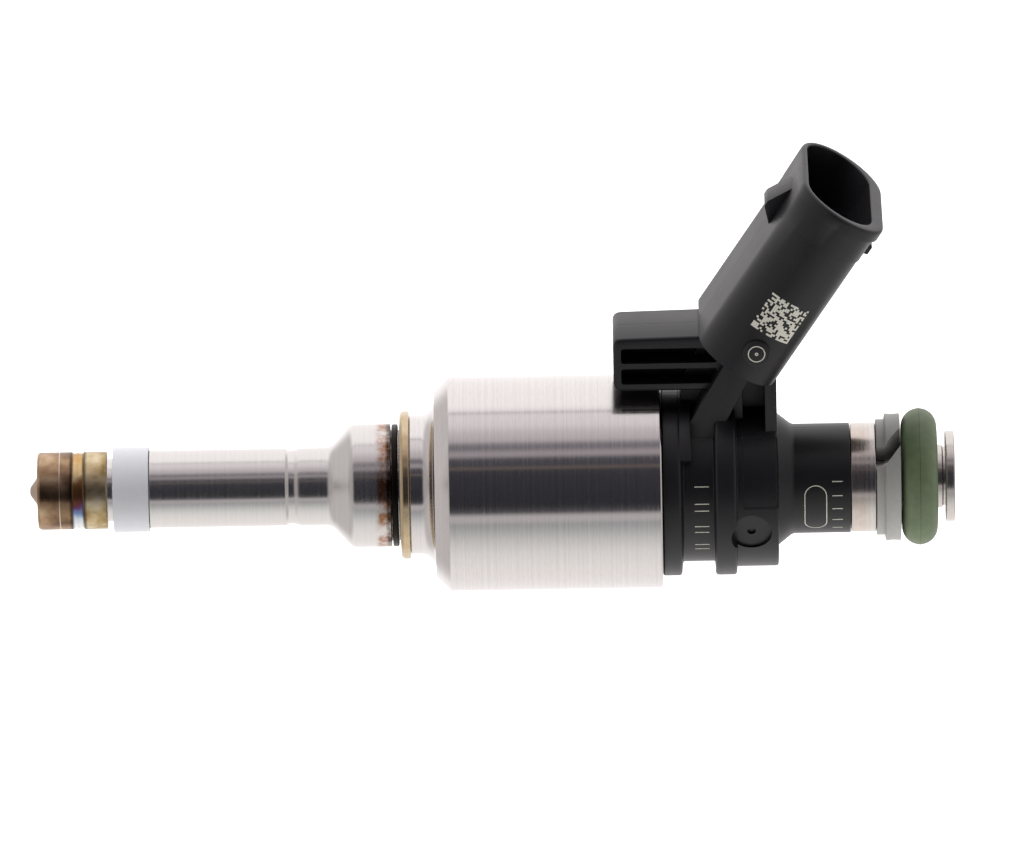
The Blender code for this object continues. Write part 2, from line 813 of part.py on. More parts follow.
def mould_body(shop, nylon):
    """The turned part of the overmould behind the cup, with its rings and neck."""
    outer = [
        (MOULD_START, FLANGE_RADIUS - 0.2),
        (MOULD_START + 0.2, FLANGE_RADIUS),
        (62.7, FLANGE_RADIUS),
        (63.05, FLANGE_RADIUS - 0.35),
        (63.05, MOULD_GROOVE_RADIUS),
        (66.15, MOULD_GROOVE_RADIUS),
        (66.15, FLANGE_RADIUS - 0.35),
        (66.5, FLANGE_RADIUS),
        (68.0, FLANGE_RADIUS),
        (68.3, FLANGE_RADIUS - 0.4),
        (68.3, STEP_RADIUS),
        (72.0, STEP_RADIUS),
        (72.3, STEP_RADIUS - 0.3),
        (72.3, 6.4),
        (73.7, MOULD_NECK_RADIUS),
        (MOULD_END, MOULD_NECK_RADIUS),
    ]
    bore = [(MOULD_START, MOULD_BORE_RADIUS), (MOULD_END, MOULD_BORE_RADIUS)]
    return turned(shop, "connector_housing", outer, bore, nylon)


def lug(shop):
    """The clocking lug over the cup, with two long pockets in each side."""
    low_x, high_x = LUG_START - SEAT_STATION, LUG_END - SEAT_STATION
    block = box(
        shop,
        "lug_block",
        (low_x, -LUG_HALF_WIDTH, LUG_LOW),
        (high_x, LUG_HALF_WIDTH, LUG_HIGH),
        bevel=0.7,
    )
    pocket_start, pocket_end = low_x + 0.95, 64.6 - SEAT_STATION
    for side in (-1, 1):
        near, far = side * (LUG_HALF_WIDTH - 2.4), side * (LUG_HALF_WIDTH + 1)
        for row, (low_z, high_z) in enumerate(((12.1, 13.45), (13.95, 15.3))):
            low = (pocket_start, min(near, far), low_z)
            high = (pocket_end, max(near, far), high_z)
            cut(block, box(shop, f"lug_pocket_{row}_{side + 1}", low, high))
    return block


def latch(shop, side):
    """A latch wedge on one narrow flank of the tower, ramped towards the mouth."""
    face = TOWER_OFFSET + side * (TOWER_HALF_WIDTH - 0.3)
    crest = TOWER_OFFSET + side * (TOWER_HALF_WIDTH + 1.05)
    points = (
        tower_point(TOWER_LENGTH - 3.0, face),
        tower_point(TOWER_LENGTH - 5.2, crest),
        tower_point(TOWER_LENGTH - 6.0, crest),
        tower_point(TOWER_LENGTH - 6.6, face),
    )
    half = LATCH_HALF_LENGTH
    return side_plate(shop, f"latch_{side + 1}", points, -half, half)


def web_outline():
    return [
        (63.6, 7.0),
        (64.9, 12.0),
        tower_point(1.0, TOWER_OFFSET - TOWER_HALF_WIDTH + 1.0),
        tower_point(1.0, TOWER_OFFSET + TOWER_HALF_WIDTH - 1.0),
        (71.8, 12.0),
        (71.8, 7.0),
    ]


def strut_outline():
    """One strut, from a spread foot on the rings up to the tower's base."""
    return [
        (63.6, 6.6),
        (64.2, 8.4),
        tower_point(0.4, -0.75),
        tower_point(0.4, 1.85),
        (67.5, 8.2),
        (68.1, 6.6),
    ]


def connector_housing(shop, nylon):
    """The overmould with its connector tower, struts, ribs and lug, as one moulding."""
    housing = mould_body(shop, nylon)
    outer_section = (TOWER_HALF_WIDTH, TOWER_FLAT, TOWER_BULGE)
    tower = barrel(
        shop, "tower_body", outer_section, TOWER_ROOT, TOWER_LENGTH, TOWER_OFFSET
    )
    join(housing, side_plate(shop, "central_web", web_outline(), -1.5, 1.5), "web")
    for side, low_y, high_y in ((0, -4.5, -1.9), (1, 1.9, 4.5)):
        strut = side_plate(shop, f"strut_{side}", strut_outline(), low_y, high_y)
        join(housing, strut, "strut")
    rib_low, rib_high = 68.1 - SEAT_STATION, 69.0 - SEAT_STATION
    join(housing, box(shop, "rib", (rib_low, -3.2, 7.0), (rib_high, 3.2, 14.5)), "rib")
    post_low, post_high = 71.1 - SEAT_STATION, 72.25 - SEAT_STATION
    post = box(shop, "end_post", (post_low, -4.4, 6.6), (post_high, 4.4, 12.9))
    join(housing, post, "post")
    join(housing, lug(shop), "lug")
    join(housing, tower, "tower")
    for side in (-1, 1):
        join(housing, latch(shop, side), "latch")
    socket_section = (SOCKET_HALF_WIDTH, SOCKET_FLAT, SOCKET_BULGE)
    socket = barrel(
        shop,
        "socket_space",
        socket_section,
        SOCKET_FLOOR,
        TOWER_LENGTH + 2,
        SOCKET_OFFSET,
    )
    cut(housing, socket, "socket")
    channel = pin_outline(PIN_WIDTH + 0.2, MOULD_START - 1, SOCKET_FLOOR + 1)
    half = PIN_THICKNESS / 2 + 0.1
    for side in (-1, 1):
        centre = side * PIN_SPREAD
        path = side_plate(
            shop, f"pin_channel_{side + 1}", channel, centre - half, centre + half
        )
        cut(housing, path, "pin_channel")
    return housing


def shade(shop):
    for obj in shop.parts.objects:
        if obj.type == "MESH" and obj.data.polygons:
            obj.data.shade_smooth()
            obj.data.set_sharp_from_angle(angle=math.radians(35))


def main():
    clear_scene()
    shop = Workshop("fuel_injector")
    steel = polished_steel()
    soft_iron = magnetic_steel()
    hard_steel = bearing_steel()
    springs = spring_steel()
    nozzle_seat_body(shop, heat_tinted_steel())
    valve_body(shop, steel)
    combustion_seal(shop, fluoropolymer())
    snap_ring(shop, blackened_steel())
    brass = pale_brass()
    decoupling_ring(shop, brass)
    magnet_cup(shop, steel)
    valve_ball(shop, hard_steel)
    valve_needle(shop, hard_steel)
    needle_guide(shop, hard_steel)
    lower_stop(shop, hard_steel)
    upper_stop(shop, hard_steel)
    armature(shop, soft_iron)
    nonmagnetic_ring(shop, steel)
    pole_core(shop, soft_iron)
    coil_spring(shop, "return_spring", 50.3, 7.95, 1.75, 0.6, 7, springs)
    coil_spring(shop, "armature_spring", 47.46, 1.52, 1.42, 0.26, 3.5, springs)
    adjusting_sleeve(shop, hard_steel)
    coil_bobbin(shop, bobbin_nylon())
    coil_winding(shop, enamelled_copper())
    flux_washer(shop, soft_iron)
    inlet_tube(shop, steel)
    filter_frame(shop, brass)
    filter_screen(shop, hard_steel)
    support_ring(shop, grey_polymer())
    inlet_o_ring(shop, green_elastomer())
    bronze = tinned_bronze()
    terminal_pin(shop, "terminal_pin_near", -1, bronze)
    terminal_pin(shop, "terminal_pin_far", 1, bronze)
    connector_housing(shop, glass_filled_nylon())
    shade(shop)


main()
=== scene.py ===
"""The looks of a high-pressure solenoid fuel injector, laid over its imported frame.

The injector's axis is X, from the spray tip to the fuel inlet, and +Z is the side of
the electrical connector. Lengths in the classes are in millimetres. A station is a
distance from the spray tip, and an angle round the axis is measured from +Z towards
-Y, in degrees.
"""

import logging
import math
from dataclasses import dataclass, field
from enum import Enum
from typing import Any, Sequence

import bmesh
import bpy
from mathutils import Matrix, Vector


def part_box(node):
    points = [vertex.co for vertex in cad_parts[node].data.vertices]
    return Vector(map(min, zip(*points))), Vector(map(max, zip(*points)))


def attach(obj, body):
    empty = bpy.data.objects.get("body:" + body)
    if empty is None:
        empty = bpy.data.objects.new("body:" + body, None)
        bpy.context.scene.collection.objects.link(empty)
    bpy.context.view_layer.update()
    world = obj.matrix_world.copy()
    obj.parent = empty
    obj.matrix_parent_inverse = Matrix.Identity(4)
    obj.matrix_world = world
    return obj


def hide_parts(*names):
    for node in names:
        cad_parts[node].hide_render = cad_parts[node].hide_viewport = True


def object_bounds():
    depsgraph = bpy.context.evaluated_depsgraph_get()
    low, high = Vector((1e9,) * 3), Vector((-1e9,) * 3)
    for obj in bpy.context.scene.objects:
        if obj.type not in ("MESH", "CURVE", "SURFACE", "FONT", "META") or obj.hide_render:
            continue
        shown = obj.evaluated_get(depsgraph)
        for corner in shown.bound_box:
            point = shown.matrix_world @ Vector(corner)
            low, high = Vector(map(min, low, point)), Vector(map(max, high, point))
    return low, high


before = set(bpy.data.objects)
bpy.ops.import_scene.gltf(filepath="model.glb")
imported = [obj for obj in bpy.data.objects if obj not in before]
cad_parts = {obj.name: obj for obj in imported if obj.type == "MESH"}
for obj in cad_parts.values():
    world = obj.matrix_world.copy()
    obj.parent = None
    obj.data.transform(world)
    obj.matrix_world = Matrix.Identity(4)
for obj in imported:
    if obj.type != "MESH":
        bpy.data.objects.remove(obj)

MM = 0.001
CAD_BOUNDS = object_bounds()
TIP_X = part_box("nozzle_seat_body")[0].x
BODY = "injector_body"
NEEDLE = "needle"
log = logging.getLogger("fuel_injector")

UP_THE_TOWER = Matrix(((0, -1, 0), (0, 0, -1), (1, 0, 0))).to_4x4()

Point = Sequence[float]
Stop = tuple[float, str]


class Side(Enum):
    """The two flanks of the connector tower that carry a latch."""

    TIP = -1
    INLET = 1


# ---------------------------------------------------------------- small helpers


def linear(code: str) -> tuple[float, float, float, float]:
    """Turns an sRGB hex colour to linear.

    Args:
        code: six hex digits after a hash.

    Returns:
        Red, green, blue and an alpha of one.
    """
    parts = [int(code[i : i + 2], 16) / 255 for i in (1, 3, 5)]
    bent = [p / 12.92 if p <= 0.04045 else ((p + 0.055) / 1.055) ** 2.4 for p in parts]
    return (bent[0], bent[1], bent[2], 1.0)


def add(
    tree: bpy.types.NodeTree,
    kind: str,
    sockets: dict[str | int, Any] | None = None,
    stops: Sequence[Stop] = (),
    **settings: Any,
) -> bpy.types.Node:
    """Adds a node with its settings, input values and links.

    Args:
        tree: the tree that gets the node.
        kind: the node's type.
        sockets: values, sockets or nodes for its inputs, by name or number.
        stops: places and hex colours of a colour ramp.
        settings: properties of the node.

    Returns:
        The new node.
    """
    made = tree.nodes.new(kind)
    for name, value in settings.items():
        setattr(made, name, value)
    for key, value in (sockets or {}).items():
        if isinstance(key, str):
            socket = next(s for s in made.inputs if s.name == key and s.enabled)
        else:
            socket = made.inputs[key]
        if isinstance(value, bpy.types.Node):
            value = result(value)
        if isinstance(value, bpy.types.NodeSocket):
            tree.links.new(value, socket)
        else:
            socket.default_value = value
    if stops:
        ramp = made.color_ramp
        while len(ramp.elements) < len(stops):
            ramp.elements.new(0.5)
        for element, (place, code) in zip(ramp.elements, stops):
            element.position = place
            element.color = linear(code)
    return made


def result(node: bpy.types.Node) -> bpy.types.NodeSocket:
    """Gives a node's first output that is in use."""
    return next(socket for socket in node.outputs if socket.enabled)


def band(
    tree: bpy.types.NodeTree,
    along: bpy.types.Node | bpy.types.NodeSocket,
    middle: float,
    full: float,
    none: float,
    most: float = 1.0,
    fade: str = "LINEAR",
) -> bpy.types.Node:
    """Adds the nodes of a band that fades with the distance from its middle.

    Args:
        tree: the tree that gets the nodes.
        along: the coordinate across the band, in metres.
        middle: the coordinate of the band's middle, in metres.
        full: how far from its middle the band keeps its full strength.
        none: how far from its middle it is gone.
        most: its full strength.
        fade: how the strength falls between the two.

    Returns:
        The node with the band's strength.
    """
    off = add(tree, "ShaderNodeMath", {0: along, 1: middle}, operation="SUBTRACT")
    away = add(tree, "ShaderNodeMath", {0: off}, operation="ABSOLUTE")
    reach = {"Value": away, "From Min": full * MM, "From Max": none * MM}
    fall = {**reach, "To Min": most, "To Max": 0.0}
    return add(tree, "ShaderNodeMapRange", fall, interpolation_type=fade)


def on_axis(station: float, radius: float = 0.0, angle: float = 0.0) -> Vector:
    """Gives the point at a station, radius and angle round the axis, in metres.

    Args:
        station: distance from the spray tip.
        radius: distance from the axis.
        angle: degrees from +Z towards -Y.

    Returns:
        The point in the frame.
    """
    turn = math.radians(angle)
    return Vector((TIP_X + station * MM, -radius * math.sin(turn) * MM, radius * math.cos(turn) * MM))


def laid_from(station: float) -> Matrix:
    """Gives the turn and shift that lay a shape made along +Z on the axis."""
    return Matrix.Translation(on_axis(station)) @ Matrix.Rotation(math.pi / 2, 4, "Y")


def eased(points: Sequence[Point], closed: bool, steps: int = 5) -> list[Vector]:
    """Rounds the corners of an outline.

    Args:
        points: (x, y) or (x, y, setback) corners; the setback is where rounding starts.
        closed: whether the last corner leads back to the first.
        steps: pieces in each rounding.

    Returns:
        The outline's points as 2D vectors.
    """
    count = len(points)
    made: list[Vector] = []
    for index, corner in enumerate(points):
        here = Vector(corner[:2])
        setback = corner[2] if len(corner) > 2 else 0.0
        if not setback or (not closed and index in (0, count - 1)):
            made.append(here)
            continue
        before = Vector(points[index - 1][:2])
        after = Vector(points[(index + 1) % count][:2])
        first = here + (before - here) * min(setback / (before - here).length, 0.48)
        last = here + (after - here) * min(setback / (after - here).length, 0.48)
        for step in range(steps + 1):
            t = step / steps
            made.append(first * (1 - t) ** 2 + here * 2 * t * (1 - t) + last * t * t)
    return made


def tidy_mesh(mesh: bpy.types.Mesh, sharp: float = 32.0) -> bpy.types.Mesh:
    """Merges doubles, closes open loops, turns faces outwards and shades the mesh.

    Args:
        mesh: the mesh to finish.
        sharp: degrees past which an edge stays sharp.

    Returns:
        The same mesh.
    """
    shape = bmesh.new()
    shape.from_mesh(mesh)
    bmesh.ops.remove_doubles(shape, verts=shape.verts, dist=1e-7)
    open_edges = [edge for edge in shape.edges if edge.is_boundary]
    if open_edges:
        bmesh.ops.holes_fill(shape, edges=open_edges, sides=0)
    bmesh.ops.recalc_face_normals(shape, faces=shape.faces)
    shape.to_mesh(mesh)
    shape.free()
    mesh.shade_smooth()
    mesh.set_sharp_from_angle(angle=math.radians(sharp))
    return mesh


def mesh_of(shape: bmesh.types.BMesh, name: str) -> bpy.types.Mesh:
    """Writes a shape into a new mesh and frees the shape."""
    mesh = bpy.data.meshes.new(name)
    shape.to_mesh(mesh)
    shape.free()
    return mesh


def rod(name: str, radius: float, length: float, segments: int) -> bpy.types.Mesh:
    """Makes a closed round rod along Z, its middle at the origin.

    Args:
        name: the mesh's name.
        radius: its radius.
        length: its length.
        segments: facets round it.

    Returns:
        The rod's mesh.
    """
    shape = bmesh.new()
    sizes = {"radius1": radius * MM, "radius2": radius * MM, "depth": length * MM}
    bmesh.ops.create_cone(shape, cap_ends=True, segments=segments, **sizes)
    return mesh_of(shape, name)


def piece_from(name: str, mesh: bpy.types.Mesh) -> bpy.types.Object:
    """Makes an object of a mesh at the origin and links it to the scene."""
    mesh.name = name
    made = bpy.data.objects.new(name, mesh)
    bpy.context.scene.collection.objects.link(made)
    return made


def baked(obj: bpy.types.Object) -> bpy.types.Mesh:
    """Turns an object with its modifiers into a plain mesh and removes the object.

    Args:
        obj: the object to evaluate.

    Returns:
        The new mesh.
    """
    graph = bpy.context.evaluated_depsgraph_get()
    mesh = bpy.data.meshes.new_from_object(obj.evaluated_get(graph))
    mesh.transform(obj.matrix_world)
    obj.modifiers.clear()
    bpy.data.objects.remove(obj, do_unlink=True)
    return mesh


def carved(mesh: bpy.types.Mesh, tools: Sequence[bpy.types.Mesh]) -> bpy.types.Mesh:
    """Cuts tool meshes out of a mesh, one after another.

    Args:
        mesh: the closed mesh to cut.
        tools: closed meshes in the same place.

    Returns:
        The cut mesh.
    """
    body = piece_from("carving", mesh)
    held = [piece_from(f"carving_tool_{i}", tool) for i, tool in enumerate(tools)]
    for tool in held:
        cut = body.modifiers.new("cut", "BOOLEAN")
        cut.operation = "DIFFERENCE"
        cut.solver = "EXACT"
        cut.object = tool
    whole = baked(body)
    for tool in held:
        bpy.data.objects.remove(tool, do_unlink=True)
    return whole


def fitted(
    name: str,
    mesh: bpy.types.Mesh,
    finish: "Finish",
    body: str = BODY,
    stands_for: Sequence[str] = (),
) -> bpy.types.Object:
    """Makes a finished piece of a mesh and puts it on its body.

    Args:
        name: the piece's name.
        mesh: its mesh, in place.
        finish: its finish.
        body: the body it moves with.
        stands_for: the nodes of the frame that it replaces.

    Returns:
        The piece.
    """
    mesh.materials.clear()
    mesh.materials.append(finish.material())
    piece = piece_from(name, mesh)
    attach(piece, body)
    if stands_for:
        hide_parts(*stands_for)
    log.info("%s: %d faces, %s", name, len(mesh.polygons), finish.name)
    return piece


def refinish(node: str, finish: "Finish") -> None:
    """Gives a node of the frame a better finish and leaves its shape alone.

    Args:
        node: the node's name.
        finish: its finish.
    """
    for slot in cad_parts[node].material_slots:
        slot.material = finish.material()
    log.info("%s: kept from the frame, %s", node, finish.name)


# ------------------------------------------------------------- geometry trees


@dataclass
class ShapeTree:
    """A Geometry Nodes tree with named inputs, and how it is run on a mesh."""

    name: str
    counts: tuple[str, ...]
    sizes: tuple[str, ...]

    def __post_init__(self) -> None:
        """Starts the tree with its sockets and its first and last nodes."""
        self.tree = bpy.data.node_groups.new(self.name, "GeometryNodeTree")
        face = self.tree.interface
        face.new_socket("Geometry", in_out="INPUT", socket_type="NodeSocketGeometry")
        kinds = {"Int": self.counts, "Float": self.sizes, "Material": ("Finish",)}
        for kind, titles in kinds.items():
            for title in titles:
                face.new_socket(title, in_out="INPUT", socket_type="NodeSocket" + kind)
        face.new_socket("Geometry", in_out="OUTPUT", socket_type="NodeSocketGeometry")
        self.start = self.tree.nodes.new("NodeGroupInput")

    def add(
        self, kind: str, sockets: dict[str | int, Any] | None = None, **settings: Any
    ) -> bpy.types.Node:
        """Adds a node to this tree.

        Args:
            kind: the node's type.
            sockets: values, sockets or nodes for its inputs.
            settings: properties of the node.

        Returns:
            The new node.
        """
        return add(self.tree, kind, sockets, **settings)

    def piped(self, curve: bpy.types.Node, sides: int, radius: Any, caps: bool = True) -> bpy.types.Node:
        """Adds the nodes that lay a round wire along a curve.

        Args:
            curve: the node of the curve.
            sides: facets round the wire.
            radius: the socket of its radius.
            caps: whether its ends are closed.

        Returns:
            The node of the wire.
        """
        section = self.add("GeometryNodeCurvePrimitiveCircle", {"Resolution": sides, "Radius": radius})
        laid = {"Curve": curve, "Profile Curve": section, "Fill Caps": caps}
        return self.add("GeometryNodeCurveToMesh", laid)

    def close(self, shape: bpy.types.Node) -> None:
        """Ends the tree: shade smooth, realize instances and set the material.

        Args:
            shape: the node whose first output is the finished geometry.
        """
        smooth = self.add("GeometryNodeSetShadeSmooth", {"Geometry": shape})
        real = self.add("GeometryNodeRealizeInstances", {"Geometry": smooth})
        finish = {"Geometry": real, "Material": self.start.outputs["Finish"]}
        last = self.add("GeometryNodeSetMaterial", finish)
        self.add("NodeGroupOutput", {"Geometry": last})

    def run(self, mesh: bpy.types.Mesh, finish: "Finish", **values: Any) -> bpy.types.Mesh:
        """Runs the tree on a mesh with the given inputs.

        Args:
            mesh: the mesh that the tree starts from.
            finish: the finish that the tree lays on the shape.
            values: values of the named inputs, with underscores for spaces.

        Returns:
            The plain mesh that comes out.
        """
        values["finish"] = finish.material()
        holder = piece_from(self.name + "_run", mesh)
        modifier = holder.modifiers.new(self.name, "NODES")
        modifier.node_group = self.tree
        for item in self.tree.interface.items_tree:
            key = item.name.replace(" ", "_").lower()
            if item.item_type == "SOCKET" and item.in_out == "INPUT" and key in values:
                modifier[item.identifier] = values[key]
        return baked(holder)


def lathe_tree() -> ShapeTree:
    """Builds the tree that turns a profile round the X axis, whole or with a gap.

    Returns:
        The tree. Its mesh is a line of points in the XZ plane, in order.
    """
    shape = ShapeTree("turned_profile", ("Segments",), ("Gap", "Gap Middle", "Gap Slant", "Slant Start"))
    given = shape.start.outputs
    size = shape.add("GeometryNodeAttributeDomainSize", {"Geometry": given["Geometry"]}, component="MESH")
    rows = shape.add("FunctionNodeIntegerMath", {0: given["Segments"], 1: 1}, operation="ADD")
    grid = shape.add("GeometryNodeMeshGrid", {"Vertices X": size, "Vertices Y": rows})
    index = shape.add("GeometryNodeInputIndex")
    column = shape.add("FunctionNodeIntegerMath", {0: index, 1: rows}, operation="DIVIDE_FLOOR")
    row = shape.add("FunctionNodeIntegerMath", {0: index, 1: rows}, operation="MODULO")
    point = shape.add(
        "GeometryNodeSampleIndex",
        {"Geometry": given["Geometry"], "Value": shape.add("GeometryNodeInputPosition"), "Index": column},
        data_type="FLOAT_VECTOR",
        domain="POINT",
    )
    along = shape.add("ShaderNodeSeparateXYZ", {"Vector": point})
    share = shape.add("ShaderNodeMath", {0: row, 1: given["Segments"]}, operation="DIVIDE")
    sweep = shape.add("ShaderNodeMath", {0: 2 * math.pi, 1: given["Gap"]}, operation="SUBTRACT")
    past = shape.add(
        "ShaderNodeMath", {0: along.outputs["X"], 1: given["Slant Start"]}, operation="SUBTRACT"
    )
    slanting = shape.add("ShaderNodeMath", {0: past, 1: 0.0}, operation="MAXIMUM")
    lean = shape.add(
        "ShaderNodeMath",
        {0: slanting, 1: given["Gap Slant"], 2: given["Gap Middle"]},
        operation="MULTIPLY_ADD",
    )
    first = shape.add("ShaderNodeMath", {0: given["Gap"], 1: 0.5, 2: lean}, operation="MULTIPLY_ADD")
    angle = shape.add("ShaderNodeMath", {0: share, 1: sweep, 2: first}, operation="MULTIPLY_ADD")
    turned = shape.add("ShaderNodeVectorRotate", {"Vector": point, "Angle": angle}, rotation_type="X_AXIS")
    placed = shape.add("GeometryNodeSetPosition", {"Geometry": grid, "Position": turned})
    merged = shape.add("GeometryNodeMergeByDistance", {"Geometry": placed, "Distance": 1e-6})
    shape.close(merged)
    return shape


def coil_tree() -> ShapeTree:
    """Builds the tree that winds a round wire into a spring with flat end turns.

    Returns:
        The tree. Its wire runs up +Z from the origin.
    """
    shape = ShapeTree("wound_wire", ("Steps",), ("Turns", "Coil Radius", "Wire Radius", "Length"))
    given = shape.start.outputs
    spiral = shape.add(
        "GeometryNodeCurveSpiral",
        {
            "Resolution": given["Steps"],
            "Rotations": given["Turns"],
            "Start Radius": given["Coil Radius"],
            "End Radius": given["Coil Radius"],
            "Height": 1.0,
        },
    )
    place = shape.add("ShaderNodeSeparateXYZ", {"Vector": shape.add("GeometryNodeInputPosition")})
    turn = shape.add("ShaderNodeMath", {0: place.outputs["Z"], 1: given["Turns"]}, operation="MULTIPLY")
    last = shape.add("ShaderNodeMath", {0: given["Turns"], 1: 1.0}, operation="SUBTRACT")
    lead = shape.add("ShaderNodeMath", {0: given["Wire Radius"], 1: 2.2}, operation="MULTIPLY")
    body = shape.add("ShaderNodeMath", {0: lead, 1: -2.0, 2: given["Length"]}, operation="MULTIPLY_ADD")
    trimmed = shape.add(
        "ShaderNodeMath", {0: given["Wire Radius"], 1: -2.0, 2: body}, operation="MULTIPLY_ADD"
    )
    ends = ((0.0, 1.0, lead), (1.0, last, trimmed), (last, given["Turns"], lead))
    low, middle, high = (
        shape.add("ShaderNodeMapRange", {"Value": turn, "From Min": a, "From Max": b, "To Max": rise})
        for a, b, rise in ends
    )
    part = shape.add("ShaderNodeMath", {0: low, 1: middle}, operation="ADD")
    whole = shape.add("ShaderNodeMath", {0: part, 1: high}, operation="ADD")
    level = shape.add("ShaderNodeMath", {0: whole, 1: given["Wire Radius"]}, operation="ADD")
    spot = shape.add("ShaderNodeCombineXYZ", {"X": place.outputs["X"], "Y": place.outputs["Y"], "Z": level})
    bent = shape.add("GeometryNodeSetPosition", {"Geometry": spiral, "Position": spot})
    shape.close(shape.piped(bent, 12, given["Wire Radius"]))
    return shape


def winding_tree() -> ShapeTree:
    """Builds the tree that lays rings of wire side by side along +Z.

    Returns:
        The tree, for the outer layer of a coil winding.
    """
    shape = ShapeTree("wound_layer", ("Count",), ("Pitch", "Layer Radius", "Wire Radius"))
    given = shape.start.outputs
    step = shape.add("ShaderNodeCombineXYZ", {"Z": given["Pitch"]})
    line = shape.add("GeometryNodeMeshLine", {"Count": given["Count"], "Offset": step})
    loop = shape.add(
        "GeometryNodeCurvePrimitiveCircle", {"Resolution": 72, "Radius": given["Layer Radius"]}
    )
    turn = shape.piped(loop, 6, given["Wire Radius"], caps=False)
    laid = shape.add("GeometryNodeInstanceOnPoints", {"Points": line, "Instance": turn})
    shape.close(laid)
    return shape


def wrap_nodes(shape: ShapeTree, flat: bpy.types.Node) -> bpy.types.Node:
    """Adds the nodes that wrap a flat pattern round a cylinder about X.

    Args:
        shape: the tree, which has a Wrap Radius and a Lift input.
        flat: the node with the flat pattern: x along the axis, y round it.

    Returns:
        The node with the wrapped pattern, facing +Z.
    """
    given = shape.start.outputs
    place = shape.add("ShaderNodeSeparateXYZ", {"Vector": shape.add("GeometryNodeInputPosition")})
    angle = shape.add(
        "ShaderNodeMath", {0: place.outputs["Y"], 1: given["Wrap Radius"]}, operation="DIVIDE"
    )
    reach = shape.add("ShaderNodeMath", {0: given["Wrap Radius"], 1: given["Lift"]}, operation="ADD")
    flat_z = shape.add(
        "ShaderNodeMath", {0: place.outputs["Z"], 1: 0.15, 2: reach}, operation="MULTIPLY_ADD"
    )
    sine = shape.add("ShaderNodeMath", {0: angle}, operation="SINE")
    cosine = shape.add("ShaderNodeMath", {0: angle}, operation="COSINE")
    across = shape.add("ShaderNodeMath", {0: sine, 1: flat_z}, operation="MULTIPLY")
    up = shape.add("ShaderNodeMath", {0: cosine, 1: flat_z}, operation="MULTIPLY")
    spot = shape.add("ShaderNodeCombineXYZ", {"X": place.outputs["X"], "Y": across, "Z": up})
    return shape.add("GeometryNodeSetPosition", {"Geometry": flat, "Position": spot})


def stroke_tree() -> ShapeTree:
    """Builds the tree that lays fine strokes along lines wrapped on a cylinder.

    Returns:
        The tree. Its mesh is a flat drawing of edges in the XY plane.
    """
    shape = ShapeTree("etched_strokes", (), ("Stroke Radius", "Wrap Radius", "Lift"))
    given = shape.start.outputs
    lines = shape.add("GeometryNodeMeshToCurve", {"Mesh": given["Geometry"]})
    drawn = shape.piped(lines, 6, given["Stroke Radius"])
    shape.close(wrap_nodes(shape, drawn))
    return shape


def dot_tree() -> ShapeTree:
    """Builds the tree that scatters square dots on a seeded grid on a cylinder.

    Returns:
        The tree. The dots are random and say nothing.
    """
    sizes = ("Block Length", "Block Width", "Dot Size", "Share", "Wrap Radius", "Lift")
    shape = ShapeTree("etched_dots", ("Rows", "Seed"), sizes)
    given = shape.start.outputs
    grid = shape.add(
        "GeometryNodeMeshGrid",
        {
            "Size X": given["Block Length"],
            "Size Y": given["Block Width"],
            "Vertices X": given["Rows"],
            "Vertices Y": given["Rows"],
        },
    )
    chosen = shape.add(
        "FunctionNodeRandomValue",
        {"Probability": given["Share"], "Seed": given["Seed"]},
        data_type="BOOLEAN",
    )
    high = shape.add("ShaderNodeMath", {0: given["Lift"], 1: 2.0}, operation="MULTIPLY")
    size = shape.add("ShaderNodeCombineXYZ", {"X": given["Dot Size"], "Y": given["Dot Size"], "Z": high})
    dot = shape.add("GeometryNodeMeshCube", {"Size": size})
    laid = shape.add("GeometryNodeInstanceOnPoints", {"Points": grid, "Selection": chosen, "Instance": dot})
    real = shape.add("GeometryNodeRealizeInstances", {"Geometry": laid})
    shape.close(wrap_nodes(shape, real))
    return shape


def weave_tree() -> ShapeTree:
    """Builds the tree that makes a woven wire tube from the edges of a cylinder.

    Returns:
        The tree. The tube stands on the origin along +Z.
    """
    shape = ShapeTree("woven_screen", ("Wires", "Rows"), ("Tube Radius", "Length", "Wire Radius"))
    given = shape.start.outputs
    tube = shape.add(
        "GeometryNodeMeshCylinder",
        {
            "Vertices": given["Wires"],
            "Side Segments": given["Rows"],
            "Radius": given["Tube Radius"],
            "Depth": given["Length"],
        },
        fill_type="NONE",
    )
    lines = shape.add("GeometryNodeMeshToCurve", {"Mesh": tube})
    shape.close(shape.piped(lines, 4, given["Wire Radius"]))
    return shape


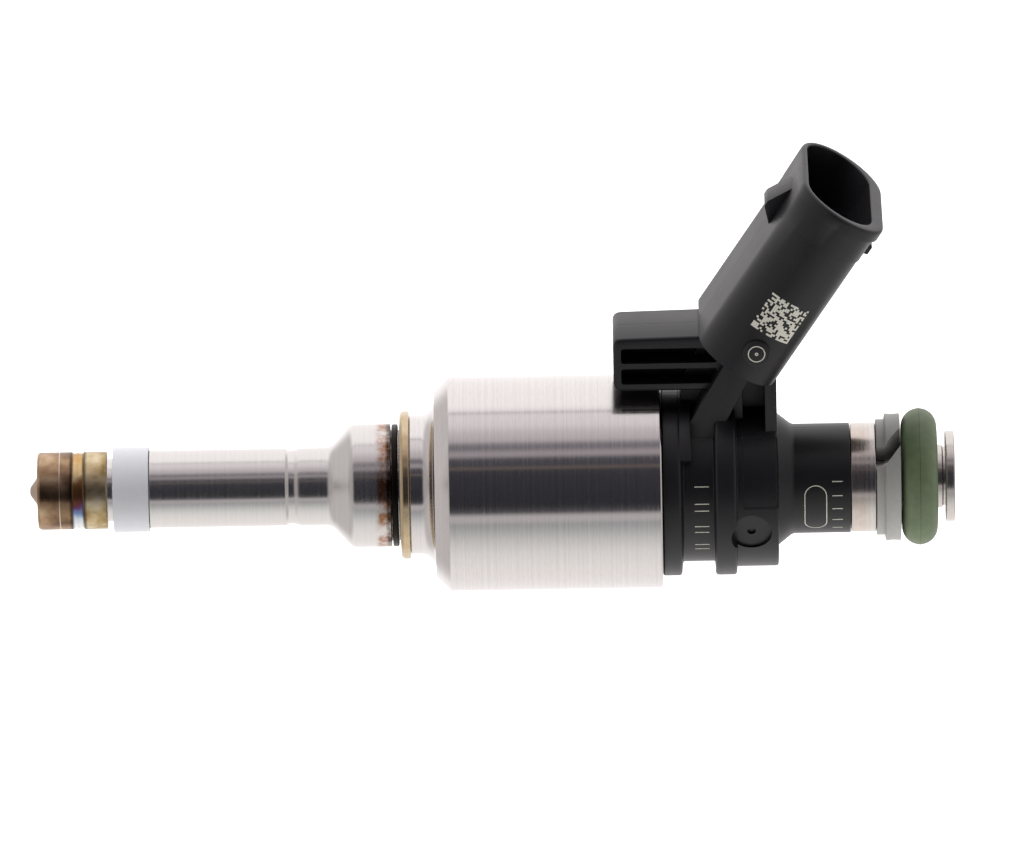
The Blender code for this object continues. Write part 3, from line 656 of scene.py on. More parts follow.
@dataclass
class Machines:
    """The geometry trees, each built once and shared by the sub-assemblies."""

    lathe: ShapeTree = field(default_factory=lathe_tree)
    coiler: ShapeTree = field(default_factory=coil_tree)
    winder: ShapeTree = field(default_factory=winding_tree)
    etcher: ShapeTree = field(default_factory=stroke_tree)
    dotter: ShapeTree = field(default_factory=dot_tree)
    loom: ShapeTree = field(default_factory=weave_tree)

    def turn(
        self,
        finish: "Finish",
        outer: Sequence[Point],
        bore: Sequence[Point] = (),
        segments: int = 160,
        gap: float = 0.0,
        middle: float = 0.0,
        slant: float = 0.0,
        slant_start: float = 0.0,
        ease: float = 0.06,
    ) -> bpy.types.Mesh:
        """Turns a piece from its outer and bore outlines.

        Args:
            finish: the piece's finish.
            outer: (station, radius, setback) corners, tip to inlet.
            bore: the bore's corners, tip to inlet; from the axis makes it blind.
            segments: facets in a full turn.
            gap: degrees left open, for a split ring.
            middle: the angle of the gap's middle at the first station.
            slant: degrees that the gap leans for each millimetre of station.
            slant_start: how far along the piece the gap begins to lean.
            ease: the setback of corners that give none.

        Returns:
            The turned mesh, in place.
        """
        ends_open = not (bore and bore[0][1] > 0)
        corners = [(*p, ease) if len(p) == 2 else tuple(p) for p in outer]
        inner = [(*p, ease * 0.5) if len(p) == 2 else tuple(p) for p in reversed(bore)]
        if not bore:
            inner = [(outer[-1][0], 0.0, 0.0)]
        if ends_open:
            corners.insert(0, (outer[0][0], 0.0, 0.0))
            if bore:
                inner[-1] = (bore[0][0], 0.0, 0.0)
        outline = eased([*corners, *inner], closed=not ends_open)
        base = outer[0][0]
        points = [Vector(((p.x - base) * MM, 0.0, p.y * MM)) for p in outline]
        if not ends_open:
            points.append(points[0].copy())
        mesh = bpy.data.meshes.new("profile")
        edges = [(i, i + 1) for i in range(len(points) - 1)]
        mesh.from_pydata(points, edges, [])
        # An angle from +Z towards -Y is a positive turn about X.
        made = self.lathe.run(
            mesh,
            finish,
            segments=segments,
            gap=math.radians(gap),
            gap_middle=math.radians(middle),
            gap_slant=math.radians(slant) / MM,
            slant_start=slant_start * MM,
        )
        made.transform(Matrix.Translation(on_axis(base)))
        return tidy_mesh(made)


# -------------------------------------------------------------------- finishes


@dataclass(frozen=True)
class Finish:
    """A finish: what it is called, its base colour and how it takes the light."""

    name: str
    colour: str
    metallic: float = 0.0
    roughness: float = 0.5
    grain: float = 0.3
    depth: float = 0.004
    mottle: float = 0.12

    def material(self) -> bpy.types.Material:
        """Builds the node material the first time it is asked for.

        Returns:
            The material.
        """
        made = bpy.data.materials.get(self.name)
        if made:
            return made
        made = bpy.data.materials.new(self.name)
        made.use_nodes = True
        made.diffuse_color = linear(self.colour)
        shader = made.node_tree.nodes["Principled BSDF"]
        shader.inputs["Base Color"].default_value = linear(self.colour)
        shader.inputs["Metallic"].default_value = self.metallic
        shader.inputs["Roughness"].default_value = self.roughness
        self.dress(made.node_tree, shader)
        return made

    def dress(self, tree: bpy.types.NodeTree, shader: bpy.types.Node) -> None:
        """Gives the plain finish a fine grain in colour, roughness and height.

        Args:
            tree: the material's tree.
            shader: its Principled shader.
        """
        place = add(tree, "ShaderNodeTexCoord").outputs["Object"]
        fine = add(
            tree, "ShaderNodeTexNoise", {"Vector": place, "Scale": 1 / (self.grain * MM), "Detail": 4.0}
        )
        tones = (1 - self.mottle, 1 + self.mottle)
        colour = self.toned(tree, fine, (0.0, 1.0), tones)
        tree.links.new(result(colour), shader.inputs["Base Color"])
        self.spread(tree, shader, fine, self.mottle)
        self.bump(tree, shader, fine, self.depth)

    def toned(
        self, tree: Any, driver: Any, span: tuple[float, float], reach: tuple[float, float]
    ) -> bpy.types.Node:
        """Lets a pattern darken and lighten the base colour.

        Args:
            tree: the material's tree.
            driver: the node or socket of the pattern.
            span: the pattern's values for the darkest and the lightest tone.
            reach: the tones there, as shares of the base colour.

        Returns:
            The node of the toned colour.
        """
        ends = {"From Min": span[0], "From Max": span[1], "To Min": reach[0], "To Max": reach[1]}
        swing = add(tree, "ShaderNodeMapRange", {"Value": driver, **ends})
        return add(tree, "ShaderNodeHueSaturation", {"Color": linear(self.colour), "Value": swing})

    def spread(self, tree: Any, shader: Any, driver: Any, amount: float) -> None:
        """Lets a pattern vary the roughness.

        Args:
            tree: the material's tree.
            shader: its Principled shader.
            driver: the node or socket of the pattern, from 0 to 1.
            amount: the share of the change.
        """
        low, high = self.roughness * (1 - amount), self.roughness * (1 + amount)
        swing = add(tree, "ShaderNodeMapRange", {"Value": driver, "To Min": low, "To Max": high})
        tree.links.new(swing.outputs[0], shader.inputs["Roughness"])

    def bump(self, tree: Any, shader: Any, driver: Any, depth: float) -> None:
        """Lets a pattern raise the surface.

        Args:
            tree: the material's tree.
            shader: its Principled shader.
            driver: the node or socket of the height, from 0 to 1.
            depth: the height of the pattern in millimetres.
        """
        raised = add(tree, "ShaderNodeBump", {"Height": driver, "Distance": depth * MM, "Strength": 1.0})
        tree.links.new(raised.outputs[0], shader.inputs["Normal"])


@dataclass(frozen=True)
class StainOrShade:
    """A discoloured band round the axis: where it lies, its colour and strength. Most are real marks; the
    near-black one at the valve tube's snap-ring groove is painted shade.
    """

    station: float
    half_width: float
    colour: str
    strength: float = 0.6
    patch: float = 2.0


@dataclass(frozen=True)
class TurnedSteel(Finish):
    """Stainless steel turned on a lathe: fine rings round the axis and short drags.

    The rings catch the light as fine cross lines, and the bands that the studio
    throws on it run straight along the axis.
    """

    ring_pitch: float = 0.22
    ring_depth: float = 0.0004
    drag: float = 0.06
    stains_and_shade: tuple[StainOrShade, ...] = ()

    def dress(self, tree: bpy.types.NodeTree, shader: bpy.types.Node) -> None:
        """Adds tool rings, drag marks, speckle and the discoloured bands, real marks and painted shade.

        Args:
            tree: the material's tree.
            shader: its Principled shader.
        """
        place = add(tree, "ShaderNodeTexCoord").outputs["Object"]
        axes = add(tree, "ShaderNodeSeparateXYZ", {"Vector": place})
        rings = add(
            tree,
            "ShaderNodeTexNoise",
            {"W": axes.outputs["X"], "Scale": 1 / (self.ring_pitch * MM), "Detail": 5.0, "Roughness": 0.7},
            noise_dimensions="1D",
        )
        squeezed = add(tree, "ShaderNodeMapping", {"Vector": place, "Scale": (12000.0, 900.0, 900.0)})
        drags = add(
            tree, "ShaderNodeTexNoise", {"Vector": squeezed, "Scale": 1.0, "Detail": 3.0, "Roughness": 0.6}
        )
        speckle = add(
            tree, "ShaderNodeTexNoise", {"Vector": place, "Scale": 1 / (0.09 * MM), "Detail": 2.0}
        )
        mixed = add(tree, "ShaderNodeMath", {0: rings, 1: drags}, operation="MULTIPLY")
        worn = add(tree, "ShaderNodeMath", {0: mixed, 1: 1.6, 2: 0.1}, operation="MULTIPLY_ADD")
        tones = {"To Min": 1 - self.drag, "To Max": 1 + self.drag * 0.4}
        swing, lines = (
            add(
                tree,
                "ShaderNodeMapRange",
                {"Value": pattern, "From Min": low, "From Max": 1 - low, **tones},
            )
            for pattern, low in ((drags, 0.3), (rings, 0.35))
        )
        shade = add(tree, "ShaderNodeMath", {0: swing, 1: lines}, operation="MULTIPLY")
        colour: Any = add(tree, "ShaderNodeHueSaturation", {"Color": linear(self.colour), "Value": shade})
        patches = add(
            tree,
            "ShaderNodeTexNoise",
            {"Vector": place, "Scale": 1 / (1.6 * MM), "Detail": 5.0, "Roughness": 0.65},
        )
        for stain_or_shade in self.stains_and_shade:
            colour = self.laid_stain_or_shade(tree, colour, axes, patches, stain_or_shade)
        tree.links.new(result(colour), shader.inputs["Base Color"])
        self.spread(tree, shader, worn, 0.45)
        height = add(tree, "ShaderNodeMath", {0: speckle, 1: 0.35, 2: rings}, operation="MULTIPLY_ADD")
        self.bump(tree, shader, height, self.ring_depth)

    def laid_stain_or_shade(self, tree: Any, colour: Any, axes: Any, patches: Any, stain_or_shade: StainOrShade) -> bpy.types.Node:
        """Lays one discoloured band over the colour so far; all are real marks but the painted shade at the
        snap-ring groove.

        Args:
            tree: the material's tree.
            colour: the node of the colour below.
            axes: the node with the point's own X, Y and Z.
            patches: the node of the patchy pattern.
            stain_or_shade: the band.

        Returns:
            The node of the new colour.
        """
        lies = band(
            tree,
            axes.outputs["X"],
            TIP_X + stain_or_shade.station * MM,
            stain_or_shade.half_width * 0.35,
            stain_or_shade.half_width,
            fade="SMOOTHSTEP",
        )
        patchy = add(tree, "ShaderNodeMapRange", {"Value": patches, "From Min": 0.38, "From Max": 0.62})
        kept = add(
            tree,
            "ShaderNodeMath",
            {0: patchy, 1: 1 / stain_or_shade.patch, 2: 1 - 1 / stain_or_shade.patch},
            operation="MULTIPLY_ADD",
        )
        share = add(tree, "ShaderNodeMath", {0: lies, 1: kept}, operation="MULTIPLY")
        factor = add(tree, "ShaderNodeMath", {0: share, 1: stain_or_shade.strength}, operation="MULTIPLY")
        return add(
            tree,
            "ShaderNodeMix",
            {"Factor": factor, "A": colour, "B": linear(stain_or_shade.colour)},
            data_type="RGBA",
        )


@dataclass(frozen=True)
class BurntSteel(Finish):
    """Stainless steel tinted brown by combustion heat, with an iridescent weld.

    The oxide is straw, brown, purple and blue in turn, set by height with a near-white bottom that is
    painted light, and dark brown bands run along the rims of the weld groove.
    """

    weld: float = 4.72
    weld_half: float = 0.56
    bright_line: float = 2.95

    def dress(self, tree: bpy.types.NodeTree, shader: bpy.types.Node) -> None:
        """Adds the oxide tints, the weld's colours with painted light by height, the dark bands at the
        groove's rims and the tool rings.

        Args:
            tree: the material's tree.
            shader: its Principled shader.
        """
        place = add(tree, "ShaderNodeTexCoord").outputs["Object"]
        axes = add(tree, "ShaderNodeSeparateXYZ", {"Vector": place})
        stretched = add(tree, "ShaderNodeMapping", {"Vector": place, "Scale": (420.0, 460.0, 460.0)})
        clouds = add(
            tree, "ShaderNodeTexNoise", {"Vector": stretched, "Scale": 1.0, "Detail": 3.0, "Roughness": 0.5}
        )
        brown = add(
            tree,
            "ShaderNodeValToRGB",
            {0: clouds},
            stops=[(0.3, "#6C5644"), (0.43, "#90745A"), (0.56, "#B09274"), (0.72, "#CEB494")],
        )
        gold = add(
            tree,
            "ShaderNodeValToRGB",
            {0: clouds},
            stops=[(0.28, "#6A5232"), (0.42, "#AC9468"), (0.56, "#D2C09A"), (0.75, "#EAE0C8")],
        )
        seam = TIP_X + self.weld * MM
        off = add(tree, "ShaderNodeMath", {0: axes.outputs["X"], 1: seam}, operation="SUBTRACT")
        away = add(tree, "ShaderNodeMath", {0: off}, operation="ABSOLUTE")
        beyond = add(tree, "ShaderNodeMath", {0: off, 1: 0.0}, operation="GREATER_THAN")
        oxide = add(tree, "ShaderNodeMix", {"Factor": beyond, "A": brown, "B": gold}, data_type="RGBA")
        # The weld's colour follows the height: straw at the top, then brown, purple and blue, near white at
        # the bottom. The oxide colours are the weld's own; their order by height and the near-white bottom,
        # facing the bright floor, are painted light.
        down = add(
            tree, "ShaderNodeMath", {0: axes.outputs["Z"], 1: -0.12 / MM, 2: 0.52}, operation="MULTIPLY_ADD"
        )
        wavy = add(tree, "ShaderNodeMath", {0: clouds, 1: 0.35, 2: down}, operation="MULTIPLY_ADD")
        level = add(tree, "ShaderNodeMath", {0: wavy, 1: 0.175}, operation="SUBTRACT")
        oxide_and_painted_light = add(
            tree,
            "ShaderNodeValToRGB",
            {0: level},
            stops=[
                (0.08, "#C79A5C"),
                (0.19, "#EFD6A6"),
                (0.27, "#A87C50"),
                (0.4, "#8C5E42"),
                (0.48, "#7E4C4A"),
                (0.54, "#785080"),
                (0.6, "#7890BC"),
                (0.68, "#CCD6E0"),
                (0.9, "#F0F2F2"),
            ],
        )
        inside = band(tree, away, 0.0, self.weld_half * 0.8, self.weld_half * 1.05)
        welded = add(tree, "ShaderNodeMix", {"Factor": inside, "A": oxide, "B": oxide_and_painted_light}, data_type="RGBA")
        # Dark brown bands along the rims of the weld groove, darker than the oxide round them.
        groove_rim_dark = band(tree, away, self.weld_half * 1.12 * MM, 0.0, 0.28, 0.85)
        rim_darkened = add(
            tree, "ShaderNodeMix", {"Factor": groove_rim_dark, "A": welded, "B": linear("#241A14")}, data_type="RGBA"
        )
        line = TIP_X + self.bright_line * MM
        bright = band(tree, axes.outputs["X"], line, 0.03, 0.06, 0.8)
        lined = add(
            tree, "ShaderNodeMix", {"Factor": bright, "A": rim_darkened, "B": linear("#E6DCD0")}, data_type="RGBA"
        )
        dome = add(
            tree,
            "ShaderNodeMapRange",
            {
                "Value": axes.outputs["X"],
                "From Min": TIP_X + 0.70 * MM,
                "From Max": TIP_X + 0.80 * MM,
                "To Min": 0.75,
                "To Max": 0.0,
            },
        )
        tipped = add(
            tree, "ShaderNodeMix", {"Factor": dome, "A": lined, "B": linear("#C9B8A8")}, data_type="RGBA"
        )
        tree.links.new(result(tipped), shader.inputs["Base Color"])
        self.spread(tree, shader, clouds, 0.35)
        rings = add(
            tree,
            "ShaderNodeTexNoise",
            {"W": axes.outputs["X"], "Scale": 1 / (0.15 * MM), "Detail": 4.0},
            noise_dimensions="1D",
        )
        rough = add(tree, "ShaderNodeMath", {0: clouds, 1: 1.5, 2: rings}, operation="MULTIPLY_ADD")
        self.bump(tree, shader, rough, 0.002)


@dataclass(frozen=True)
class MouldedNylon(Finish):
    """Glass-filled nylon moulded in a spark-eroded tool, with its parting line.

    A fine even grain breaks up the gloss, the glass shows as faint flecks, and the
    two halves of the mould leave a hairline in the plane of symmetry.
    """

    # A real parting line is about 0.03 mm wide; it is drawn coarser so that it shows.
    parting: float = 0.11

    def dress(self, tree: bpy.types.NodeTree, shader: bpy.types.Node) -> None:
        """Adds grain, flecks, flow shading and the parting line.

        Args:
            tree: the material's tree.
            shader: its Principled shader.
        """
        place = add(tree, "ShaderNodeTexCoord").outputs["Object"]
        axes = add(tree, "ShaderNodeSeparateXYZ", {"Vector": place})
        grain = add(
            tree,
            "ShaderNodeTexNoise",
            {"Vector": place, "Scale": 1 / (self.grain * MM), "Detail": 3.0, "Roughness": 0.6},
        )
        flow = add(tree, "ShaderNodeTexNoise", {"Vector": place, "Scale": 1 / (3.5 * MM), "Detail": 3.0})
        seam = band(tree, axes.outputs["Y"], 0.0, self.parting * 0.6, self.parting)
        upper = add(tree, "ShaderNodeMath", {0: axes.outputs["Z"], 1: 0.0}, operation="GREATER_THAN")
        line = add(tree, "ShaderNodeMath", {0: seam, 1: upper}, operation="MULTIPLY")
        mottle = add(tree, "ShaderNodeMath", {0: flow, 1: 0.6, 2: grain}, operation="MULTIPLY_ADD")
        colour = self.toned(tree, mottle, (0.5, 1.1), (0.75, 1.3))
        parted = add(
            tree, "ShaderNodeMix", {"Factor": line, "A": colour, "B": linear("#060607")}, data_type="RGBA"
        )
        tree.links.new(result(parted), shader.inputs["Base Color"])
        self.spread(tree, shader, mottle, 0.2)
        height = add(tree, "ShaderNodeMath", {0: line, 1: -3.0, 2: grain}, operation="MULTIPLY_ADD")
        self.bump(tree, shader, height, self.depth)


@dataclass(frozen=True)
class MouldedRubber(Finish):
    """A moulded fluoroelastomer ring: satin, a little dusty, with a flash line."""

    line_station: float = 86.0
    line_half: float = 0.04

    def dress(self, tree: bpy.types.NodeTree, shader: bpy.types.Node) -> None:
        """Adds the bloom, the fine pitting and the line where the mould parts.

        Args:
            tree: the material's tree.
            shader: its Principled shader.
        """
        place = add(tree, "ShaderNodeTexCoord").outputs["Object"]
        axes = add(tree, "ShaderNodeSeparateXYZ", {"Vector": place})
        bloom = add(
            tree,
            "ShaderNodeTexNoise",
            {"Vector": place, "Scale": 1 / (1.3 * MM), "Detail": 5.0, "Roughness": 0.6},
        )
        pits = add(
            tree, "ShaderNodeTexNoise", {"Vector": place, "Scale": 1 / (self.grain * MM), "Detail": 3.0}
        )
        parting = TIP_X + self.line_station * MM
        half = self.line_half
        line = band(tree, axes.outputs["X"], parting, half * 0.5, half, 0.6)
        colour = self.toned(tree, bloom, (0.3, 0.7), (0.86, 1.16))
        parted = add(
            tree, "ShaderNodeMix", {"Factor": line, "A": colour, "B": linear("#26301E")}, data_type="RGBA"
        )
        tree.links.new(result(parted), shader.inputs["Base Color"])
        self.spread(tree, shader, pits, 0.2)
        self.bump(tree, shader, pits, self.depth)


# Turned and ground stainless steel: bright, with fine rings that break the bands.
CUP_STEEL = TurnedSteel("turned_stainless_steel", "#E2DEDD", 1.0, 0.14, ring_pitch=0.35, ring_depth=0.0003)
# Drawn stainless tube with a turned shoulder, rusted behind the ring, with near-black painted shade at the
# snap-ring groove's edge.
TUBE_STEEL = TurnedSteel(
    "drawn_stainless_tube",
    "#E0DDDB",
    1.0,
    0.2,
    ring_pitch=0.3,
    ring_depth=0.0003,
    drag=0.03,
    # The first band is real rust; the second, near black at the snap-ring groove's edge, is painted shade.
    stains_and_shade=(StainOrShade(34.35, 1.05, "#9A5A18", 0.9, 1.1), StainOrShade(34.95, 0.6, "#20160E", 0.95, 1.8)),
)
# The inlet stub: ground steel, warm with fuel varnish near the moulding.
INLET_STEEL = TurnedSteel(
    "ground_inlet_steel",
    "#DAD4CF",
    1.0,
    0.22,
    ring_pitch=0.25,
    stains_and_shade=(StainOrShade(79.8, 1.6, "#C8A88E", 0.4, 1.3),),
)
# Stainless steel discoloured by combustion: matt browns and an iridescent weld.
BURNT_STEEL = BurntSteel("heat_tinted_stainless_steel", "#8A7058", 1.0, 0.32)
# Sintered PTFE: waxy white, soft sheen and no sharp reflection.
PTFE = Finish("sintered_ptfe", "#BEBEC2", 0.0, 0.42, grain=0.5, depth=0.002, mottle=0.03)
# Spring steel with a black oxide: dark and oily.
BLACK_STEEL = Finish("black_oxide_spring_steel", "#26231F", 1.0, 0.38, grain=0.2)
# Pale brass, turned: warm and bright.
BRASS = TurnedSteel(
    "turned_pale_brass",
    "#DACDB2",
    1.0,
    0.22,
    ring_pitch=0.2,
    stains_and_shade=(StainOrShade(36.2, 0.9, "#B79257", 0.5, 1.5),),
)
# Glass-filled nylon 66 in black: matt with a fine moulded grain.
NYLON = MouldedNylon("glass_filled_nylon_black", "#121215", 0.0, 0.34, grain=0.14, depth=0.005)
# Natural dark nylon of the bobbin, smoother than the overmould.
BOBBIN_NYLON = Finish("bobbin_nylon_dark", "#33343A", 0.0, 0.42, grain=0.4)
# Green fluoroelastomer: satin, with a dusty bloom.
RUBBER = MouldedRubber("green_fluoroelastomer", "#5C6A4C", 0.0, 0.5, grain=0.12, depth=0.004)
# Machined grey engineering polymer of the support ring: matt.
GREY_POLYMER = Finish("machined_grey_polymer", "#9A9894", 0.0, 0.48, grain=0.25, depth=0.004)
# Soft magnetic steel: grey, sand-matt and slightly oily.
SOFT_IRON = TurnedSteel("soft_magnetic_steel", "#A4A4A6", 1.0, 0.34, ring_pitch=0.3)
# Hardened and lapped bearing steel: almost a mirror.
BEARING_STEEL = TurnedSteel("lapped_bearing_steel", "#D9D9DB", 1.0, 0.1, ring_pitch=0.12)
# Shot-peened spring wire.
SPRING_STEEL = Finish("peened_spring_steel", "#8D8D90", 1.0, 0.3, grain=0.1, depth=0.003)
# Enamelled copper wire under clear varnish.
ENAMEL = Finish("enamelled_copper_wire", "#A5502C", 0.85, 0.3, grain=0.5, depth=0.002)
# Tin-plated bronze of the terminals: soft white metal.
TINNED = Finish("tin_plated_bronze", "#C9C5BC", 1.0, 0.3, grain=0.2, depth=0.003)
# Nylon foamed pale by the marking laser.
ETCHED = Finish("laser_foamed_nylon", "#C6C2B6", 0.0, 0.7, grain=0.06, depth=0.004)


# ---------------------------------------------------------------- sub-assemblies


@dataclass
class Nozzle:
    """The spray tip, the slim valve tube and the rings that sit on it."""

    machines: Machines
    radius: float = 3.75
    dome_radius: float = 1.5
    dome_height: float = 0.8
    weld: float = 4.72
    weld_half: float = 0.56
    weld_depth: float = 0.14
    clear: float = 0.004
    seal_groove: tuple[float, float] = (7.5, 11.6)
    seal_groove_radius: float = 3.05
    seal_radius: float = 4.1
    tube_groove: tuple[float, float] = (24.95, 26.1)
    tube_groove_radius: float = 3.55
    shoulder: float = 5.95
    snap_groove: tuple[float, float] = (34.95, 35.8)
    snap_floor: float = 5.35
    ring: tuple[float, float] = (35.85, 36.75)
    ring_radius: float = 7.15
    tube_end: float = 46.5
    spray_holes: int = 6
    spray_hole_radius: float = 0.13
    spray_circle: float = 0.72
    spray_tilt: float = 28.0

    def build(self) -> None:
        """Builds and dresses the pieces of the nozzle."""
        self.tip()
        self.tube()
        self.seal()
        self.snap_ring()
        self.decoupling_ring()

    def tip(self) -> None:
        """Turns the tip and drills its spray holes."""
        floor = self.radius - self.weld_depth
        edge = self.weld - self.weld_half
        outer = [
            (0.4, self.spray_hole_radius, 0.0),
            (0.0, self.spray_hole_radius, 0.0),
            (0.0, 0.22, 0.06),
            (0.1, 0.5, 0.1),
            (self.dome_height, self.dome_radius, 0.12),
            (self.dome_height, self.radius - 0.2, 0.05),
            (self.dome_height + 0.22, self.radius, 0.12),
            (edge, self.radius, 0.05),
            (edge + 0.12, floor, 0.06),
            (self.weld - self.clear, floor + 0.05, 0.0),
            (self.weld - self.clear, 2.5, 0.0),
            (10.0, 2.5),
        ]
        bore = [(1.2, 0.0, 0.0), (1.25, 0.45), (1.6, 0.55), (3.0, 1.75), (10.0, 1.75)]
        mesh = self.machines.turn(BURNT_STEEL, outer, bore)
        mesh = carved(mesh, [self.drill(index) for index in range(self.spray_holes)])
        fitted(
            "nozzle_seat_visual",
            tidy_mesh(mesh),
            BURNT_STEEL,
            stands_for=["nozzle_seat_body"],
        )

    def drill(self, index: int) -> bpy.types.Mesh:
        """Makes the drill of one spray hole.

        Args:
            index: which hole, from 0.

        Returns:
            A thin closed rod in place.
        """
        mesh = rod("spray_drill", self.spray_hole_radius, 2.4, 16)
        angle = 360 * index / self.spray_holes
        lean = Matrix.Rotation(math.radians(90 - self.spray_tilt), 4, "Y")
        spin = Matrix.Rotation(math.radians(angle), 4, "X")
        out = Matrix.Translation((0.0, 0.0, self.spray_circle * MM))
        place = Matrix.Translation(on_axis(0.85)) @ spin @ out @ lean
        mesh.transform(place)
        return mesh

    def tube(self) -> None:
        """Turns the valve tube with its grooves, shoulder and chamber."""
        floor = self.radius - self.weld_depth
        edge = self.weld + self.weld_half
        ring_low, ring_high = self.snap_groove
        outer = [
            (self.weld + self.clear, floor + 0.05, 0.0),
            (edge - 0.12, floor, 0.06),
            (edge, self.radius, 0.05),
            (self.seal_groove[0], self.radius, 0.08),
            (self.seal_groove[0], self.seal_groove_radius, 0.08),
            (self.seal_groove[1], self.seal_groove_radius, 0.05),
            (self.seal_groove[1], self.radius, 0.05),
            (self.tube_groove[0] - 0.2, self.radius, 0.1),
            (self.tube_groove[0] + 0.1, self.tube_groove_radius, 0.12),
            (self.tube_groove[0] + 0.6, self.tube_groove_radius, 0.25),
            (self.tube_groove[1], self.radius, 0.35),
            (29.15, self.radius, 0.6),
            (31.15, self.shoulder, 0.5),
            (ring_low, self.shoulder, 0.08),
            (ring_low, self.snap_floor),
            (ring_high, self.snap_floor),
            (ring_high, self.shoulder, 0.05),
            (self.tube_end, self.shoulder),
        ]
        bore = [
            (self.weld + self.clear, 2.57, 0.0),
            (10.2, 2.57),
            (10.5, 2.2),
            (29.6, 2.2),
            (31.6, 4.7),
            (self.tube_end, 4.7),
        ]
        tube = fitted(
            "valve_tube_visual",
            self.machines.turn(TUBE_STEEL, outer, bore, segments=192),
            TUBE_STEEL,
            stands_for=["valve_body"],
        )
        # The tube's first millimetres, up to the seal, are tinted by the same heat.
        tube.data.materials.append(BURNT_STEEL.material())
        for face in tube.data.polygons:
            if face.center.x < on_axis(self.seal_groove[0] + 0.02).x:
                face.material_index = 1

    def seal(self) -> None:
        """Turns the combustion seal, its edges just eased."""
        low, high = self.seal_groove[0] + 0.6, self.seal_groove[1] - 0.05
        outer = [(low, self.seal_radius, 0.1), (high, self.seal_radius, 0.1)]
        bore = [(low, self.seal_groove_radius + 0.06), (high, self.seal_groove_radius + 0.06)]
        fitted(
            "combustion_seal_visual",
            self.machines.turn(PTFE, outer, bore),
            PTFE,
            stands_for=["combustion_seal"],
        )

    def snap_ring(self) -> None:
        """Bends the open snap ring, with its gap away from the lug."""
        low, high = self.snap_groove[0] + 0.12, self.snap_groove[1] - 0.14
        proud = self.shoulder - 0.04
        outer = [(low, proud, 0.16), (high, proud, 0.16)]
        bore = [(low, self.snap_floor + 0.08), (high, self.snap_floor + 0.08)]
        mesh = self.machines.turn(BLACK_STEEL, outer, bore, gap=17.0, middle=180.0)
        fitted("snap_ring_visual", mesh, BLACK_STEEL, stands_for=["snap_ring"])

    def decoupling_ring(self) -> None:
        """Turns the ring that rests in the head's pocket."""
        low, high = self.ring
        outer = [
            (low, self.ring_radius - 0.25, 0.1),
            (low + 0.25, self.ring_radius, 0.15),
            (high, self.ring_radius, 0.12),
        ]
        bore = [(low, self.shoulder + 0.08), (high, self.shoulder + 0.08)]
        fitted(
            "decoupling_ring_visual",
            self.machines.turn(BRASS, outer, bore),
            BRASS,
            stands_for=["decoupling_ring"],
        )


@dataclass
class MagnetGroup:
    """The cup, the coil and the magnetic pieces inside it."""

    machines: Machines
    cup_front: float = 36.8
    seat: float = 39.2
    neck_radius: float = 6.7
    seat_radius: float = 8.95
    radius: float = 10.35
    chamfer_end: float = 40.6
    end: float = 61.1
    bore: float = 9.35
    shoulder: float = 6.03
    coil_start: float = 41.7
    winding: tuple[float, float] = (42.6, 56.7)
    winding_inner: float = 6.85
    winding_radius: float = 8.9
    wire_radius: float = 0.16

    def build(self) -> None:
        """Builds and dresses the pieces of the magnet group."""
        self.cup()
        self.wind()
        refinish("coil_bobbin", BOBBIN_NYLON)
        refinish("nonmagnetic_ring", CUP_STEEL)
        for node in ("armature", "pole_core", "flux_washer"):
            refinish(node, SOFT_IRON)

    def cup(self) -> None:
        """Turns the cup with its neck, fillet, seat face and chamfer."""
        outer = [
            (self.cup_front, self.neck_radius, 0.12),
            (38.3, self.neck_radius, 0.5),
            (self.seat, self.neck_radius + 0.9, 0.6),
            (self.seat, self.seat_radius, 0.08),
            (self.chamfer_end, self.radius, 0.12),
            (self.end - 0.14, self.radius, 0.06),
            (self.end, self.radius - 0.14, 0.06),
        ]
        bore = [
            (self.cup_front, self.shoulder),
            (self.coil_start - 0.2, self.shoulder),
            (self.coil_start - 0.2, self.bore),
            (self.end, self.bore),
        ]
        fitted(
            "magnet_cup_visual",
            self.machines.turn(CUP_STEEL, outer, bore, segments=224),
            CUP_STEEL,
            stands_for=["magnet_cup"],
        )

    def wind(self) -> None:
        """Winds the coil: a solid core of inner layers and the outer layer's turns."""
        low, high = self.winding
        core_radius = self.winding_radius - self.wire_radius
        outer = [(low, core_radius), (high, core_radius)]
        bore = [(low, self.winding_inner), (high, self.winding_inner)]
        core = self.machines.turn(ENAMEL, outer, bore, segments=96)
        pitch = 2 * self.wire_radius
        count = int((high - low) / pitch)
        layer = self.machines.winder.run(
            bpy.data.meshes.new("layer"),
            ENAMEL,
            count=count,
            pitch=pitch * MM,
            layer_radius=(self.winding_radius - self.wire_radius) * MM,
            wire_radius=self.wire_radius * MM,
        )
        layer.transform(laid_from(low + self.wire_radius))
        mesh = joined([core, tidy_mesh(layer, 60)])
        fitted("coil_winding_visual", mesh, ENAMEL, stands_for=["coil_winding"])


def joined(meshes: Sequence[bpy.types.Mesh]) -> bpy.types.Mesh:
    """Puts several meshes into one, each as it is.

    Args:
        meshes: the meshes, in place.

    Returns:
        One mesh with all their faces.
    """
    shape = bmesh.new()
    for mesh in meshes:
        shape.from_mesh(mesh)
    return mesh_of(shape, "joined")


@dataclass(frozen=True)
class Spring:
    """A compression spring: where it starts and how it is wound."""

    station: float
    length: float
    radius: float
    wire: float
    turns: float


